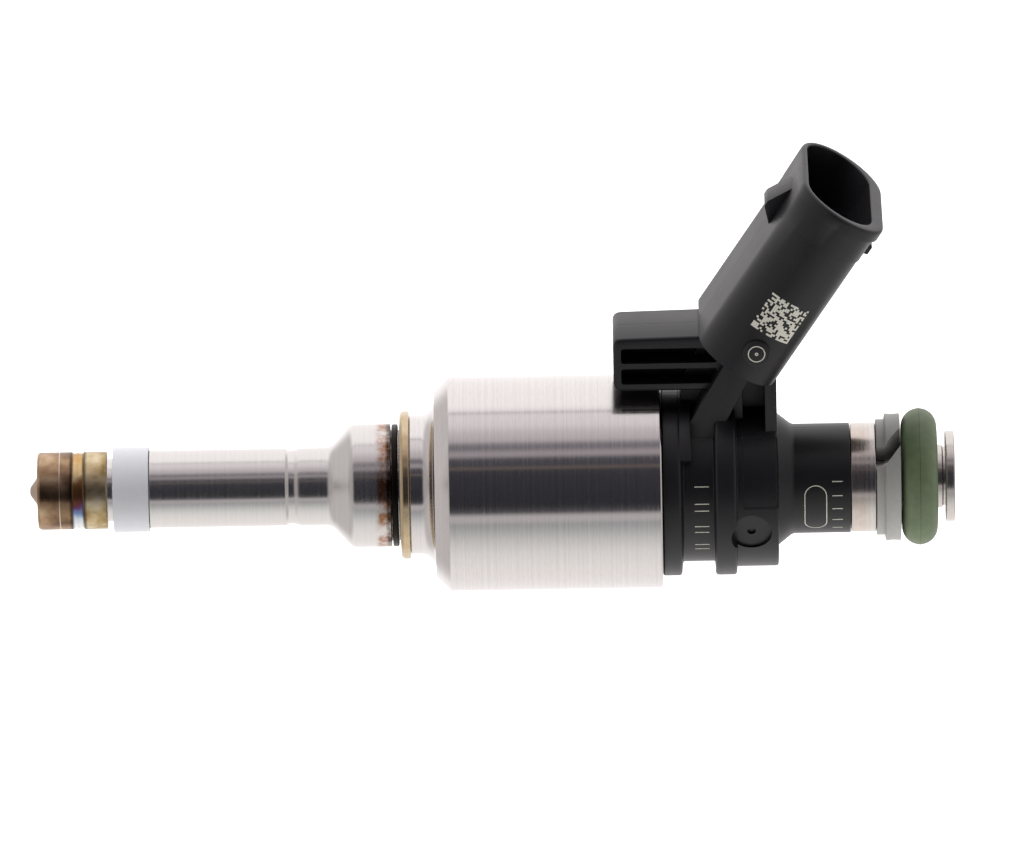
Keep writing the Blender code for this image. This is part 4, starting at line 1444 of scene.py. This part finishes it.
@dataclass
class NeedleGroup:
    """The needle with its ball and stops, the guide and the two springs."""

    machines: Machines
    ball_station: float = 3.4
    ball_radius: float = 1.5
    closing: Spring = Spring(station=50.3, length=7.95, radius=1.75, wire=0.6, turns=7.0)
    damping: Spring = Spring(station=47.46, length=1.52, radius=1.42, wire=0.26, turns=3.5)

    def build(self) -> None:
        """Builds and dresses the pieces of the needle group."""
        self.ball()
        self.wind("return_spring", self.closing, BODY)
        self.wind("armature_spring", self.damping, NEEDLE)
        for node in ("valve_needle", "needle_guide", "lower_stop", "upper_stop"):
            refinish(node, BEARING_STEEL)

    def ball(self) -> None:
        """Grinds the valve ball from a finely divided sphere."""
        shape = bmesh.new()
        bmesh.ops.create_icosphere(shape, subdivisions=5, radius=self.ball_radius * MM)
        mesh = mesh_of(shape, "ball")
        mesh.transform(Matrix.Translation(on_axis(self.ball_station)))
        fitted(
            "valve_ball_visual",
            tidy_mesh(mesh),
            BEARING_STEEL,
            NEEDLE,
            stands_for=["valve_ball"],
        )

    def wind(self, node: str, spring: Spring, body: str) -> None:
        """Winds one compression spring, its end turns flat.

        Args:
            node: the node that it stands for.
            spring: its sizes.
            body: the body it moves with.
        """
        mesh = self.machines.coiler.run(
            bpy.data.meshes.new("spring"),
            SPRING_STEEL,
            turns=spring.turns,
            coil_radius=spring.radius * MM,
            wire_radius=spring.wire / 2 * MM,
            length=spring.length * MM,
            steps=48,
        )
        mesh.transform(laid_from(spring.station))
        fitted(
            f"{node}_visual",
            tidy_mesh(mesh, 50),
            SPRING_STEEL,
            body,
            stands_for=[node],
        )


@dataclass
class InletGroup:
    """The fuel inlet: tube, filter, sleeve, support ring and O-ring."""

    machines: Machines
    mould_end: float = 79.3
    mould_bore: float = 4.42
    collar_radius: float = 5.27
    collar_end: float = 81.75
    neck_radius: float = 3.07
    disc: tuple[float, float] = (88.5, 89.4)
    disc_radius: float = 4.4
    bore: float = 2.2
    support_end: float = 84.15
    slit: float = 21.5
    slit_middle: float = 46.7
    slit_slant: float = -12.9
    slit_bend: float = 82.6
    ring_station: float = 86.0
    ring_major: float = 4.88
    ring_minor: float = 1.72
    screen: tuple[float, float] = (80.68, 87.98)
    screen_radius: float = 1.27
    screen_wire: float = 0.035
    screen_wires: int = 28
    screen_rows: int = 44

    def build(self) -> None:
        """Builds and dresses the pieces of the inlet."""
        self.tube()
        self.support_ring()
        self.o_ring()
        self.weave_screen()
        refinish("adjusting_sleeve", BEARING_STEEL)
        refinish("filter_frame", BRASS)

    def tube(self) -> None:
        """Turns the inlet tube with its collar, O-ring neck, undercut and disc."""
        stem = self.mould_bore - 0.1
        outer = [
            (62.08, stem),
            (self.mould_end + 0.08, stem),
            (self.mould_end + 0.08, self.collar_radius, 0.05),
            (self.collar_end, self.collar_radius, 0.1),
            (self.collar_end, self.neck_radius, 0.1),
            (self.disc[0] - 0.3, self.neck_radius, 0.05),
            (self.disc[0] - 0.25, self.neck_radius - 0.2, 0.05),
            (self.disc[0], self.neck_radius - 0.2, 0.05),
            (self.disc[0], self.disc_radius, 0.14),
            (self.disc[1], self.disc_radius, 0.2),
        ]
        bore = [
            (62.08, 2.45),
            (66.6, 2.45),
            (67.2, 1.9),
            (79.2, 1.9),
            (79.2, self.bore),
            (self.disc[1] - 0.3, self.bore),
            (self.disc[1], self.bore + 0.3),
        ]
        fitted(
            "inlet_tube_visual",
            self.machines.turn(INLET_STEEL, outer, bore, segments=192),
            INLET_STEEL,
            stands_for=["inlet_tube"],
        )

    def support_ring(self) -> None:
        """Turns the split ring, its slit slanting across."""
        low = self.collar_end + 0.07
        outer = [(low, 5.6, 0.08), (82.6, 5.6, 0.05), (82.7, 6.15, 0.12), (self.support_end, 6.15, 0.12)]
        inner = self.neck_radius + 0.08
        mesh = self.machines.turn(
            GREY_POLYMER,
            outer,
            [(low, inner), (self.slit_bend, inner), (self.support_end, inner)],
            gap=self.slit,
            middle=self.slit_middle,
            slant=self.slit_slant,
            slant_start=self.slit_bend - low,
        )
        fitted("support_ring_visual", mesh, GREY_POLYMER, stands_for=["support_ring"])

    def o_ring(self) -> None:
        """Moulds the O-ring, with a hair of flash at its parting line."""
        steps = 48
        outline = []
        for index in range(steps):
            angle = 2 * math.pi * index / steps
            proud = 0.025 if index == steps // 4 else 0.0
            reach = self.ring_minor + proud
            outline.append(
                (
                    self.ring_station - reach * math.cos(angle),
                    self.ring_major + reach * math.sin(angle),
                    0.0,
                )
            )
        half = steps // 2
        mesh = self.machines.turn(
            RUBBER, outline[: half + 1], list(reversed(outline[half + 1 :])), segments=160
        )
        fitted("inlet_o_ring_visual", mesh, RUBBER, stands_for=["inlet_o_ring"])

    def weave_screen(self) -> None:
        """Weaves the filter's screen tube, closed by a disc at its far end."""
        low, high = self.screen
        mesh = self.machines.loom.run(
            bpy.data.meshes.new("screen"),
            BEARING_STEEL,
            wires=self.screen_wires,
            rows=self.screen_rows,
            tube_radius=self.screen_radius * MM,
            length=(high - low) * MM,
            wire_radius=self.screen_wire * MM,
        )
        mesh.transform(laid_from(low))
        inside = self.screen_radius - 0.02
        ends = [(low - 0.04, inside), (low + 0.22, inside)]
        plug = self.machines.turn(BEARING_STEEL, ends, segments=48)
        fitted(
            "filter_screen_visual",
            joined([tidy_mesh(mesh, 60), plug]),
            BEARING_STEEL,
            stands_for=["filter_screen"],
        )


@dataclass
class ConnectorMoulding:
    """The overmould with its rings, struts, lug, connector tower and latches."""

    machines: Machines
    start: float = 61.12
    end: float = 79.3
    flange: float = 9.2
    groove: float = 7.84
    step: float = 8.4
    neck: float = 5.3
    bore: float = 4.42
    base: tuple[float, float] = (68.6, 14.9)
    lean: float = 56.8
    height: float = 18.6
    root: float = -0.4
    floor: float = 6.6
    flanks: tuple[float, float] = (-4.15, 4.32)
    rim_flanks: tuple[float, float] = (-4.3, 4.75)
    reach: float = 8.6
    rim_reach: float = 8.7
    collars: tuple[float, float] = (3.9, 1.25)
    mould_line: float = 0.09
    socket: tuple[float, float] = (-3.75, 3.35)
    reach_inner: float = 7.85
    boss: tuple[float, float] = (0.4, 2.55)
    lug_half: float = 3.6
    lug_ends: tuple[float, float] = (56.6, 68.5)
    lug_pockets: tuple[tuple[float, float], ...] = ((11.65, 13.25), (13.8, 15.35))
    panel_ends: tuple[float, float] = (68.9, 72.2)
    panel_turn: tuple[float, float] = (38.0, 87.0)
    panel_depth: float = 0.14
    pocket_turn: tuple[float, float] = (108.0, 105.0)
    pocket_station: float = 69.65
    saddle_ends: tuple[float, float] = (62.8, 63.95)

    def build(self) -> None:
        """Builds and dresses the moulding and its terminals."""
        parts = [
            self.barrel(),
            self.tower(),
            self.lug(),
            self.latch(Side.TIP),
            self.latch(Side.INLET),
            self.tower_boss(),
            *self.ribs(),
        ]
        fitted(
            "connector_housing_visual",
            joined(parts),
            NYLON,
            stands_for=["connector_housing"],
        )
        for node in ("terminal_pin_near", "terminal_pin_far"):
            refinish(node, TINNED)

    def barrel(self) -> bpy.types.Mesh:
        """Turns the moulded barrel: two rings, a step, a cone and the neck.

        Returns:
            The barrel's mesh, with its sunk panel and round pocket.
        """
        outer = [
            (self.start, self.flange, 0.25),
            (62.95, self.flange, 0.35),
            (63.05, self.groove + 0.2, 0.1),
            (63.15, self.groove, 0.12),
            (66.1, self.groove, 0.12),
            (66.15, self.groove + 0.2, 0.1),
            (66.2, self.flange, 0.35),
            (68.25, self.flange, 0.35),
            (68.3, self.step, 0.1),
            (68.85, self.step, 0.0),
            (68.95, self.step, 0.0),
            (72.3, self.step, 0.3),
            (72.3, 6.4, 0.1),
            (73.7, self.neck, 0.3),
            (self.end, self.neck, 0.08),
        ]
        bore = [(self.start, self.bore), (self.end, self.bore)]
        mesh = self.machines.turn(NYLON, outer, bore, segments=256)
        self.sink_panel(mesh)
        tools = [self.round_tool(1.95, 8.02), self.round_tool(0.42, 7.75)]
        return tidy_mesh(carved(mesh, tools))

    def sink_panel(self, mesh: bpy.types.Mesh) -> None:
        """Sinks a plain panel into the step, between two angles.

        Args:
            mesh: the barrel's mesh.
        """
        low_x, high_x = (on_axis(end).x for end in self.panel_ends)
        first, last = self.panel_turn
        for vertex in mesh.vertices:
            place = vertex.co
            angle = math.degrees(math.atan2(-place.y, place.z))
            span = math.hypot(place.y, place.z)
            if low_x < place.x < high_x and first < angle < last and span > 8.0 * MM:
                vertex.co.y *= 1 - self.panel_depth * MM / span
                vertex.co.z *= 1 - self.panel_depth * MM / span

    def round_tool(self, radius: float, depth: float, rise: float = 2.0) -> bpy.types.Mesh:
        """Makes a round cutter for the flat-bottomed pocket in the barrel.

        Args:
            radius: the cutter's radius.
            depth: its end's distance from the axis.
            rise: how far it stands above that end.

        Returns:
            The closed cutter in place.
        """
        facing, angle = self.pocket_turn
        mesh = rod("round_tool", radius, rise, 64)
        turn = Matrix.Rotation(math.radians(facing), 4, "X")
        shift = math.tan(math.radians(angle - facing)) * depth
        up = Matrix.Translation((0.0, -shift * MM, (depth + rise / 2) * MM))
        mesh.transform(Matrix.Translation(on_axis(self.pocket_station)) @ turn @ up)
        return mesh

    def tower_point(self, height: float, offset: float) -> tuple[float, float]:
        """Gives the station and Z of a point in the tower's own frame.

        Args:
            height: distance along the tower from its base.
            offset: distance across it, towards the inlet.

        Returns:
            The station and the height above the axis.
        """
        lean = math.radians(self.lean)
        station = self.base[0] + height * math.cos(lean) + offset * math.sin(lean)
        level = self.base[1] + height * math.sin(lean) - offset * math.cos(lean)
        return station, level

    def tower_matrix(self) -> Matrix:
        """Gives the tower's own frame: X across it, Y sideways and Z up along it."""
        lean = math.radians(self.lean)
        turn = Matrix.Rotation(math.pi / 2 - lean, 4, "Y")
        base = on_axis(self.base[0]) + Vector((0.0, 0.0, self.base[1] * MM))
        return Matrix.Translation(base) @ turn

    def tower_ring(self, height: float, left: float, right: float, reach: float) -> list[Vector]:
        """Gives one obround ring of the tower's skin.

        Args:
            height: its height along the tower.
            left: the offset of its flank towards the tip.
            right: the offset of its flank towards the inlet.
            reach: half its length sideways.

        Returns:
            The ring's points in the tower's frame, in metres.
        """
        centre, half = (left + right) / 2, (right - left) / 2
        steps = 28
        points = []
        for index in range(steps + 1):
            angle = math.pi * index / steps
            side = reach - half + half * math.sin(angle)
            points.append((centre + half * math.cos(angle), side))
        points += [(2 * centre - x, -y) for x, y in points]
        return [Vector((x * MM, y * MM, height * MM)) for x, y in points]

    def tower(self) -> bpy.types.Mesh:
        """Lofts the tower's skin: outer wall, rounded rim, inner wall and floor.

        Returns:
            The tower's closed mesh.
        """
        top = self.height
        left, right = self.flanks
        reach = self.reach
        first, second = (top - collar for collar in self.collars)
        flare = self.rim_flanks[0] - left
        rings = [
            (self.root, left, right, reach),
            (first - 4.0, left, right, reach),
            (first, left + flare * 0.3, right, reach),
            (first + 0.05, left + flare * 0.35, right + self.mould_line, reach + self.mould_line),
            (second, left + flare * 0.8, right + self.mould_line, reach + self.mould_line),
        ]
        left, right = self.rim_flanks
        reach = self.rim_reach + self.mould_line * 0.5
        rings += [(second + 0.05, left, right, reach), (top - 0.3, left, right, reach)]
        for step in range(1, 6):
            turn = math.pi / 2 * step / 5
            inset = 0.3 * (1 - math.cos(turn))
            rings.append((top - 0.3 + 0.3 * math.sin(turn), left + inset, right - inset, reach - inset))
        (inner_left, inner_right), inner_reach = self.socket, self.reach_inner
        for step in range(5):
            turn = math.pi / 2 * step / 4
            inset = 0.15 * (1 - math.sin(turn))
            height = top - 0.15 + 0.15 * math.cos(turn)
            rings.append((height, inner_left - inset, inner_right + inset, inner_reach + inset))
        rings.append((self.floor, inner_left + 0.15, inner_right - 0.15, inner_reach - 0.1))
        shape = bmesh.new()
        loops = []
        for height, a, b, reach in rings:
            loops.append([shape.verts.new(p) for p in self.tower_ring(height, a, b, reach)])
        for low, high in zip(loops, loops[1:]):
            for index in range(len(low)):
                after = (index + 1) % len(low)
                shape.faces.new((low[index], low[after], high[after], high[index]))
        shape.faces.new(list(reversed(loops[0])))
        shape.faces.new(loops[-1])
        mesh = mesh_of(shape, "tower")
        mesh.transform(self.tower_matrix())
        return tidy_mesh(mesh, 40)

    def plate(
        self, outline: Sequence[Point], low: float, high: float, ease: float, bevel: float = 0.15
    ) -> bpy.types.Mesh:
        """Makes a plate from an outline of (station, Z) points, thick along Y.

        Args:
            outline: its corners, each with a setback where it differs.
            low: its near side.
            high: its far side.
            ease: the rounding of its corners.
            bevel: the rounding of its edges.

        Returns:
            The plate's closed mesh.
        """
        corners = [(*p, ease) if len(p) == 2 else tuple(p) for p in outline]
        flat = eased(corners, closed=True, steps=4)
        shape = bmesh.new()
        near = [shape.verts.new((TIP_X + p.x * MM, low * MM, p.y * MM)) for p in flat]
        face = shape.faces.new(near)
        grown = bmesh.ops.extrude_face_region(shape, geom=[face])
        moved = [v for v in grown["geom"] if isinstance(v, bmesh.types.BMVert)]
        bmesh.ops.translate(shape, vec=(0.0, (high - low) * MM, 0.0), verts=moved)
        bmesh.ops.recalc_face_normals(shape, faces=shape.faces)
        if bevel:
            rims = [e for e in shape.edges if abs(e.verts[0].co.y - e.verts[1].co.y) < 1e-9]
            bmesh.ops.bevel(
                shape,
                geom=rims,
                offset=bevel * MM,
                offset_type="OFFSET",
                segments=3,
                profile=0.5,
                affect="EDGES",
                clamp_overlap=True,
            )
        mesh = mesh_of(shape, "plate")
        return tidy_mesh(mesh)

    def lug(self) -> bpy.types.Mesh:
        """Moulds the clocking lug and cuts its two long pockets in each side.

        Returns:
            The lug's mesh.
        """
        first, last = self.lug_ends
        outline = [(first, 10.9), (last, 10.9), (last, 16.6), (first, 16.35)]
        block = self.plate(outline, -self.lug_half, self.lug_half, 0.8, 0.3)
        tools = []
        for low, high in self.lug_pockets:
            box = [(57.35, low), (66.6, low), (66.6, high), (57.35, high)]
            tools.append(self.plate(box, -self.lug_half - 1, -1.0, 0.3, 0.0))
            tools.append(self.plate(box, 1.0, self.lug_half + 1, 0.3, 0.0))
        return tidy_mesh(carved(block, tools))

    def latch(self, side: Side) -> bpy.types.Mesh:
        """Moulds one latch wedge, ramped towards the mouth.

        Args:
            side: which flank it stands on.

        Returns:
            The wedge's mesh.
        """
        if side is Side.TIP:
            face, crest, below = -4.0, -5.5, (1.8, 4.6, 5.2, 6.7)
        else:
            face, crest, below = 4.1, 5.6, (2.6, 3.3, 4.2, 4.5)
        offsets = (face, crest, crest, face)
        outline = [self.tower_point(self.height - b, at) for b, at in zip(below, offsets)]
        return self.plate(outline, -1.6, 1.6, 0.12, 0.12)

    def tower_boss(self) -> bpy.types.Mesh:
        """Moulds the small round boss low on the tower's near face.

        Returns:
            The boss's mesh.
        """
        shape = bmesh.new()
        bmesh.ops.create_cone(
            shape, cap_ends=True, segments=64, radius1=1.35 * MM, radius2=1.3 * MM, depth=1.2 * MM
        )
        rim = [e for e in shape.edges if e.calc_face_angle(0.0) > 1.0]
        bmesh.ops.bevel(shape, geom=rim, offset=0.1 * MM, segments=3, profile=0.5, affect="EDGES")
        mesh = mesh_of(shape, "boss")
        outwards = Matrix.Rotation(math.pi / 2, 4, "X")
        across, along = self.boss
        centre = Matrix.Translation((across * MM, -(self.reach - 0.3) * MM, along * MM))
        mesh.transform(self.tower_matrix() @ centre @ outwards)
        return tidy_mesh(mesh)

    def saddle(self) -> bpy.types.Mesh:
        """Turns the part of a ring that fills the groove under the lug.

        Returns:
            The saddle's mesh.
        """
        low, high = self.saddle_ends
        outer = [(low, self.flange - 0.03, 0.1), (high, self.flange - 0.03, 0.1)]
        bore = [(low, self.groove - 0.3), (high, self.groove - 0.3)]
        return self.machines.turn(NYLON, outer, bore, gap=250.0, middle=180.0)

    def ribs(self) -> list[bpy.types.Mesh]:
        """Moulds the web, the struts, the saddle, the rib and the end post.

        Returns:
            Their meshes.
        """
        web = [
            (62.5, 7.0),
            (63.5, 12.0),
            self.tower_point(1.0, -3.4),
            self.tower_point(1.0, 3.2),
            (71.8, 12.0),
            (71.8, 7.0),
        ]
        strut = [
            (*self.tower_point(-10.4, 0.0), 0.05),
            (*self.tower_point(0.4, -0.7), 0.1),
            (*self.tower_point(0.4, 1.95), 0.1),
            (*self.tower_point(-8.9, 3.05), 0.05),
        ]
        rib = [(68.1, 7.0), (69.0, 7.0), (69.0, 14.5), (68.1, 14.5)]
        post = [(71.1, 5.8), (72.25, 5.8), (72.25, 13.2), (71.1, 13.2)]
        return [
            self.plate(web, -1.5, 1.5, 0.1),
            self.plate(strut, -4.5, -1.9, 0.1),
            self.plate(strut, 1.9, 4.5, 0.1),
            self.saddle(),
            self.plate(rib, -3.2, 3.2, 0.1),
            self.plate(post, -4.7, 4.7, 0.12),
        ]


@dataclass
class EtchedMarks:
    """Plain marks in place of lettering: dots, a ring, an oval and short bars."""

    machines: Machines
    moulding: ConnectorMoulding
    stroke: float = 0.045
    lift: float = 0.01
    dot_rows: int = 20
    dot_block: tuple[float, float] = (3.75, 4.1)
    dot_size: float = 0.2
    dot_share: float = 0.55
    dot_seed: int = 11
    dot_place: tuple[float, float] = (6.6, -0.45)
    face_radius: float = 4.25
    boss_ring: float = 0.79
    boss_dot: float = 0.12
    oval: tuple[float, float] = (1.05, 2.6)
    neck_rows: tuple[float, ...] = (-2.8, -1.4, 0.0, 1.4, 2.8)
    groove_rows: tuple[float, ...] = (-3.6, -2.9, -1.2, -0.5, 1.2, 1.9, 3.6)

    def build(self) -> None:
        """Builds and dresses the marks."""
        self.block_of_dots()
        self.tower_ring_mark()
        self.neck_marks()
        self.groove_marks()

    def wrapped(self, name: str, lines: list[list[Point]], radius: float, place: Matrix) -> None:
        """Draws lines on a cylinder and puts them in place.

        Args:
            name: the piece's name.
            lines: each line's (along, round) points.
            radius: the cylinder's radius.
            place: where the pattern's cylinder lies; the pattern faces its +Z.
        """
        points: list[Point] = []
        edges = []
        for line in lines:
            first = len(points)
            points += [(x * MM, y * MM, 0.0) for x, y in line]
            edges += [(i, i + 1) for i in range(first, len(points) - 1)]
        mesh = bpy.data.meshes.new(name)
        mesh.from_pydata(points, edges, [])
        drawn = self.machines.etcher.run(
            mesh, ETCHED, stroke_radius=self.stroke * MM, wrap_radius=radius * MM, lift=self.lift * MM
        )
        drawn.transform(place)
        fitted(name, tidy_mesh(drawn, 60), ETCHED)

    def block_of_dots(self) -> None:
        """Etches a block of random square dots on the tower's near face."""
        radius = self.face_radius
        length, width = self.dot_block
        dots = self.machines.dotter.run(
            bpy.data.meshes.new("dots"),
            ETCHED,
            rows=self.dot_rows,
            block_length=length * MM,
            block_width=width * MM,
            dot_size=self.dot_size * MM,
            share=self.dot_share,
            seed=self.dot_seed,
            wrap_radius=radius * MM,
            lift=self.lift * MM,
        )
        dots.transform(self.tower_face(*self.dot_place, radius))
        fitted("etched_dot_block", tidy_mesh(dots, 60), ETCHED)

    def tower_face(self, height: float, offset: float, radius: float) -> Matrix:
        """Gives the frame of a pattern on the tower's near, rounded face.

        Args:
            height: the height of the pattern's middle along the tower.
            offset: how far round the face it lies from the face's middle.
            radius: the radius of the face.

        Returns:
            The frame: X up the tower and Z outwards.
        """
        centre = sum(self.moulding.flanks) / 2
        middle = Vector((centre * MM, -(self.moulding.reach - radius) * MM, height * MM))
        swing = Matrix.Rotation(-offset / radius, 4, "X")
        return self.moulding.tower_matrix() @ Matrix.Translation(middle) @ UP_THE_TOWER @ swing

    def tower_ring_mark(self) -> None:
        """Etches a plain ring with a dot on the tower's boss."""
        ring = arc_line(self.boss_ring, 0, 360)
        dot = arc_line(self.boss_dot, 0, 360)
        flat = 400.0
        across, along = self.moulding.boss
        lift = Vector((across * MM, -(self.moulding.reach + 0.3 - flat) * MM, along * MM))
        place = self.moulding.tower_matrix() @ Matrix.Translation(lift) @ UP_THE_TOWER
        self.wrapped("etched_boss_ring", [ring, dot], flat, place)

    def neck_marks(self) -> None:
        """Etches an empty oval and a row of bars on the neck."""
        radius = self.moulding.neck
        self.wrapped("etched_neck_oval", [oval_line(*self.oval)], radius, facing(75.9, 103))
        bars = [[(-0.5, y), (0.5, y)] for y in self.neck_rows]
        self.wrapped("etched_neck_bars", bars, radius, facing(78.0, 101))

    def groove_marks(self) -> None:
        """Etches a row of bars in the barrel's groove."""
        bars = [[(-0.7, y), (0.7, y)] for y in self.groove_rows]
        self.wrapped("etched_groove_bars", bars, self.moulding.groove, facing(64.9, 98))


def facing(station: float, angle: float) -> Matrix:
    """Gives a frame on the axis at a station, its Z turned to an angle."""
    return Matrix.Translation(on_axis(station)) @ Matrix.Rotation(math.radians(angle), 4, "X")


def arc_line(radius: float, first: float, last: float, steps: int = 40) -> list[Point]:
    """Gives the points of an arc about the origin.

    Args:
        radius: its radius.
        first: its first angle in degrees.
        last: its last angle in degrees.
        steps: its pieces.

    Returns:
        The points.
    """
    turns = [math.radians(first + (last - first) * i / steps) for i in range(steps + 1)]
    return [(radius * math.cos(t), radius * math.sin(t)) for t in turns]


def oval_line(half_width: float, half_length: float) -> list[Point]:
    """Gives the points of an oval with straight sides, long along y.

    Args:
        half_width: half its width.
        half_length: half its length.

    Returns:
        The closed line's points.
    """
    rise = half_length - half_width
    side = [rise - 2 * rise * step / 8 for step in range(1, 8)]
    top = [(x, y + rise) for x, y in arc_line(half_width, 0, 180, 20)]
    bottom = [(x, y - rise) for x, y in arc_line(half_width, 180, 360, 20)]
    down = [(-half_width, y) for y in side]
    up = [(half_width, -y) for y in side]
    return [*top, *down, *bottom, *up, top[0]]


# ------------------------------------------------------------------------ studio


@dataclass
class Studio:
    """The pale floor, the soft light all round and the camera."""

    floor_drop: float = 34.0
    camera_yaw: float = -0.4
    camera_fall: float = 23.03
    camera_roll: float = 1.14
    camera_distance: float = 1400.0
    target: tuple[float, float] = (7.53, 5.29)
    lens: float = 508.9
    light_strength: float = 1.35
    lamp_size: tuple[float, float] = (0.5, 0.35)
    lamp_watts: float = 3.0
    lamp_place: tuple[float, float, float] = (-0.15, 0.12, 0.55)
    lamp_aim: tuple[float, float, float] = (0.02, 0.0, 0.0)
    light: tuple[Stop, ...] = (
        (-180, "#F1EEEE"),
        (-80, "#DEDBD9"),
        (-58, "#D2D1D0"),
        (-42, "#BDBDBC"),
        (-30, "#A3A4A4"),
        (-22, "#8F9091"),
        (-18, "#ABA7A9"),
        (-12, "#AFAAAC"),
        (-9, "#2E2E32"),
        (-4.5, "#3C3C40"),
        (-3.5, "#28282C"),
        (33, "#323238"),
        (38.4, "#37363B"),
        (39.1, "#7E7064"),
        (40.1, "#7E7064"),
        (40.8, "#3E3D44"),
        (50, "#444349"),
        (53, "#9C9698"),
        (58, "#8E888C"),
        (60, "#676469"),
        (65, "#6B686D"),
        (70, "#ADA7AA"),
        (80, "#B8B2B5"),
        (88, "#CDC8CA"),
        (103, "#D6D1D3"),
        (105.5, "#A19C9F"),
        (108, "#E0DCDD"),
        (115, "#EDEAEA"),
        (180, "#F1EEEE"),
    )
    fill: tuple[Stop, ...] = (
        (-180, "#FFFFFF"),
        (-95, "#F0F0F0"),
        (-62, "#808082"),
        (-30, "#2C2C30"),
        (40, "#2C2C30"),
        (68, "#868688"),
        (95, "#FFFFFF"),
        (180, "#FFFFFF"),
    )

    def build(self) -> None:
        """Sets the floor, the light and the camera."""
        self.floor()
        self.surroundings()
        self.key_light()
        self.camera()
        view = bpy.context.scene.view_settings
        view.view_transform = "Standard"
        log.info("studio: floor, light and camera")

    def floor(self) -> None:
        """Lays a plain pale floor below the injector."""
        low = CAD_BOUNDS[0].z - self.floor_drop * MM
        shape = bmesh.new()
        bmesh.ops.create_grid(shape, x_segments=1, y_segments=1, size=3.0)
        mesh = mesh_of(shape, "studio_floor")
        mesh.transform(Matrix.Translation((0.0, 0.0, low)))
        finish = bpy.data.materials.new("pale_light_table")
        finish.use_nodes = True
        shader = finish.node_tree.nodes["Principled BSDF"]
        shader.inputs["Base Color"].default_value = linear("#E8E8E8")
        shader.inputs["Roughness"].default_value = 0.9
        shader.inputs["Emission Color"].default_value = linear("#FFFFFF")
        shader.inputs["Emission Strength"].default_value = 0.55
        mesh.materials.append(finish)
        floor = piece_from("studio_floor", mesh)
        floor.visible_glossy = False

    def surroundings(self) -> None:
        """Hangs the soft light round the injector as bands along its axis."""
        world = bpy.data.worlds.new("soft_studio")
        bpy.context.scene.world = world
        world.use_nodes = True
        tree = world.node_tree
        tree.nodes.clear()
        way = add(tree, "ShaderNodeTexCoord").outputs["Generated"]
        axes = add(tree, "ShaderNodeSeparateXYZ", {"Vector": way})
        front = add(tree, "ShaderNodeMath", {0: axes.outputs["Y"], 1: -1.0}, operation="MULTIPLY")
        round_axis = add(tree, "ShaderNodeMath", {0: axes.outputs["Z"], 1: front}, operation="ARCTAN2")
        share = add(
            tree, "ShaderNodeMath", {0: round_axis, 1: 0.5 / math.pi, 2: 0.5}, operation="MULTIPLY_ADD"
        )
        bands, fill = (
            add(
                tree,
                "ShaderNodeValToRGB",
                {0: share},
                stops=[(turn / 360 + 0.5, code) for turn, code in stops],
            )
            for stops in (self.light, self.fill)
        )
        sideways = add(tree, "ShaderNodeMath", {0: axes.outputs["X"]}, operation="ABSOLUTE")
        ends = add(
            tree,
            "ShaderNodeMapRange",
            {"Value": sideways, "From Min": 0.3, "From Max": 0.65, "To Max": 0.8},
            interpolation_type="SMOOTHSTEP",
        )
        mixed = add(
            tree, "ShaderNodeMix", {"Factor": ends, "A": bands, "B": linear("#A8A4A3")}, data_type="RGBA"
        )
        path = add(tree, "ShaderNodeLightPath").outputs
        shed = add(
            tree,
            "ShaderNodeMix",
            {"Factor": path["Is Diffuse Ray"], "A": mixed, "B": fill},
            data_type="RGBA",
        )
        lit = add(tree, "ShaderNodeBackground", {"Color": shed, "Strength": self.light_strength})
        plain = add(tree, "ShaderNodeBackground", {"Color": linear("#FFFFFF"), "Strength": 1.0})
        chosen = add(tree, "ShaderNodeMixShader", {0: path["Is Camera Ray"], 1: lit, 2: plain})
        add(tree, "ShaderNodeOutputWorld", {"Surface": chosen})
        # Matt and glossy surfaces see different light, so rays alone must find it.
        world.cycles.sampling_method = "NONE"

    def key_light(self) -> None:
        """Hangs one large soft lamp above and behind, for shape on the matt pieces."""
        lamp = bpy.data.lights.new("soft_box", "AREA")
        lamp.shape = "RECTANGLE"
        lamp.size, lamp.size_y = self.lamp_size
        lamp.energy = self.lamp_watts
        holder = bpy.data.objects.new("soft_box", lamp)
        bpy.context.scene.collection.objects.link(holder)
        holder.location = self.lamp_place
        aim = Vector(self.lamp_aim) - holder.location
        holder.rotation_euler = aim.to_track_quat("-Z", "Y").to_euler()
        holder.visible_glossy = False

    def camera(self) -> None:
        """Sets the camera on its long lens."""
        yaw, fall = math.radians(self.camera_yaw), math.radians(self.camera_fall)
        ahead = Vector((math.sin(yaw) * math.cos(fall), math.cos(yaw) * math.cos(fall), -math.sin(fall)))
        right = Vector((math.cos(yaw), -math.sin(yaw), 0.0))
        up = right.cross(ahead)
        aim = Vector((self.target[0] * MM, 0.0, 0.0)) + up * self.target[1] * MM
        roll = math.radians(self.camera_roll)
        across = right * math.cos(roll) - up * math.sin(roll)
        upright = up * math.cos(roll) + right * math.sin(roll)
        place = Matrix((across, upright, -ahead)).transposed().to_4x4()
        place.translation = aim - ahead * self.camera_distance * MM
        data = bpy.data.cameras.new("camera")
        data.lens = self.lens
        data.sensor_width = 36.0
        data.clip_start, data.clip_end = 0.01, 20.0
        camera = bpy.data.objects.new("camera", data)
        bpy.context.scene.collection.objects.link(camera)
        camera.matrix_world = place
        bpy.context.scene.camera = camera


def main() -> None:
    """Builds the studio and every sub-assembly in turn."""
    logging.basicConfig(level=logging.INFO, format="%(name)s: %(message)s")
    Studio().build()
    machines = Machines()
    moulding = ConnectorMoulding(machines)
    groups = (
        Nozzle(machines),
        MagnetGroup(machines),
        NeedleGroup(machines),
        InletGroup(machines),
        moulding,
        EtchedMarks(machines, moulding),
    )
    for group in groups:
        log.info("building %s", type(group).__name__)
        group.build()


if __name__ == "__main__":
    main()
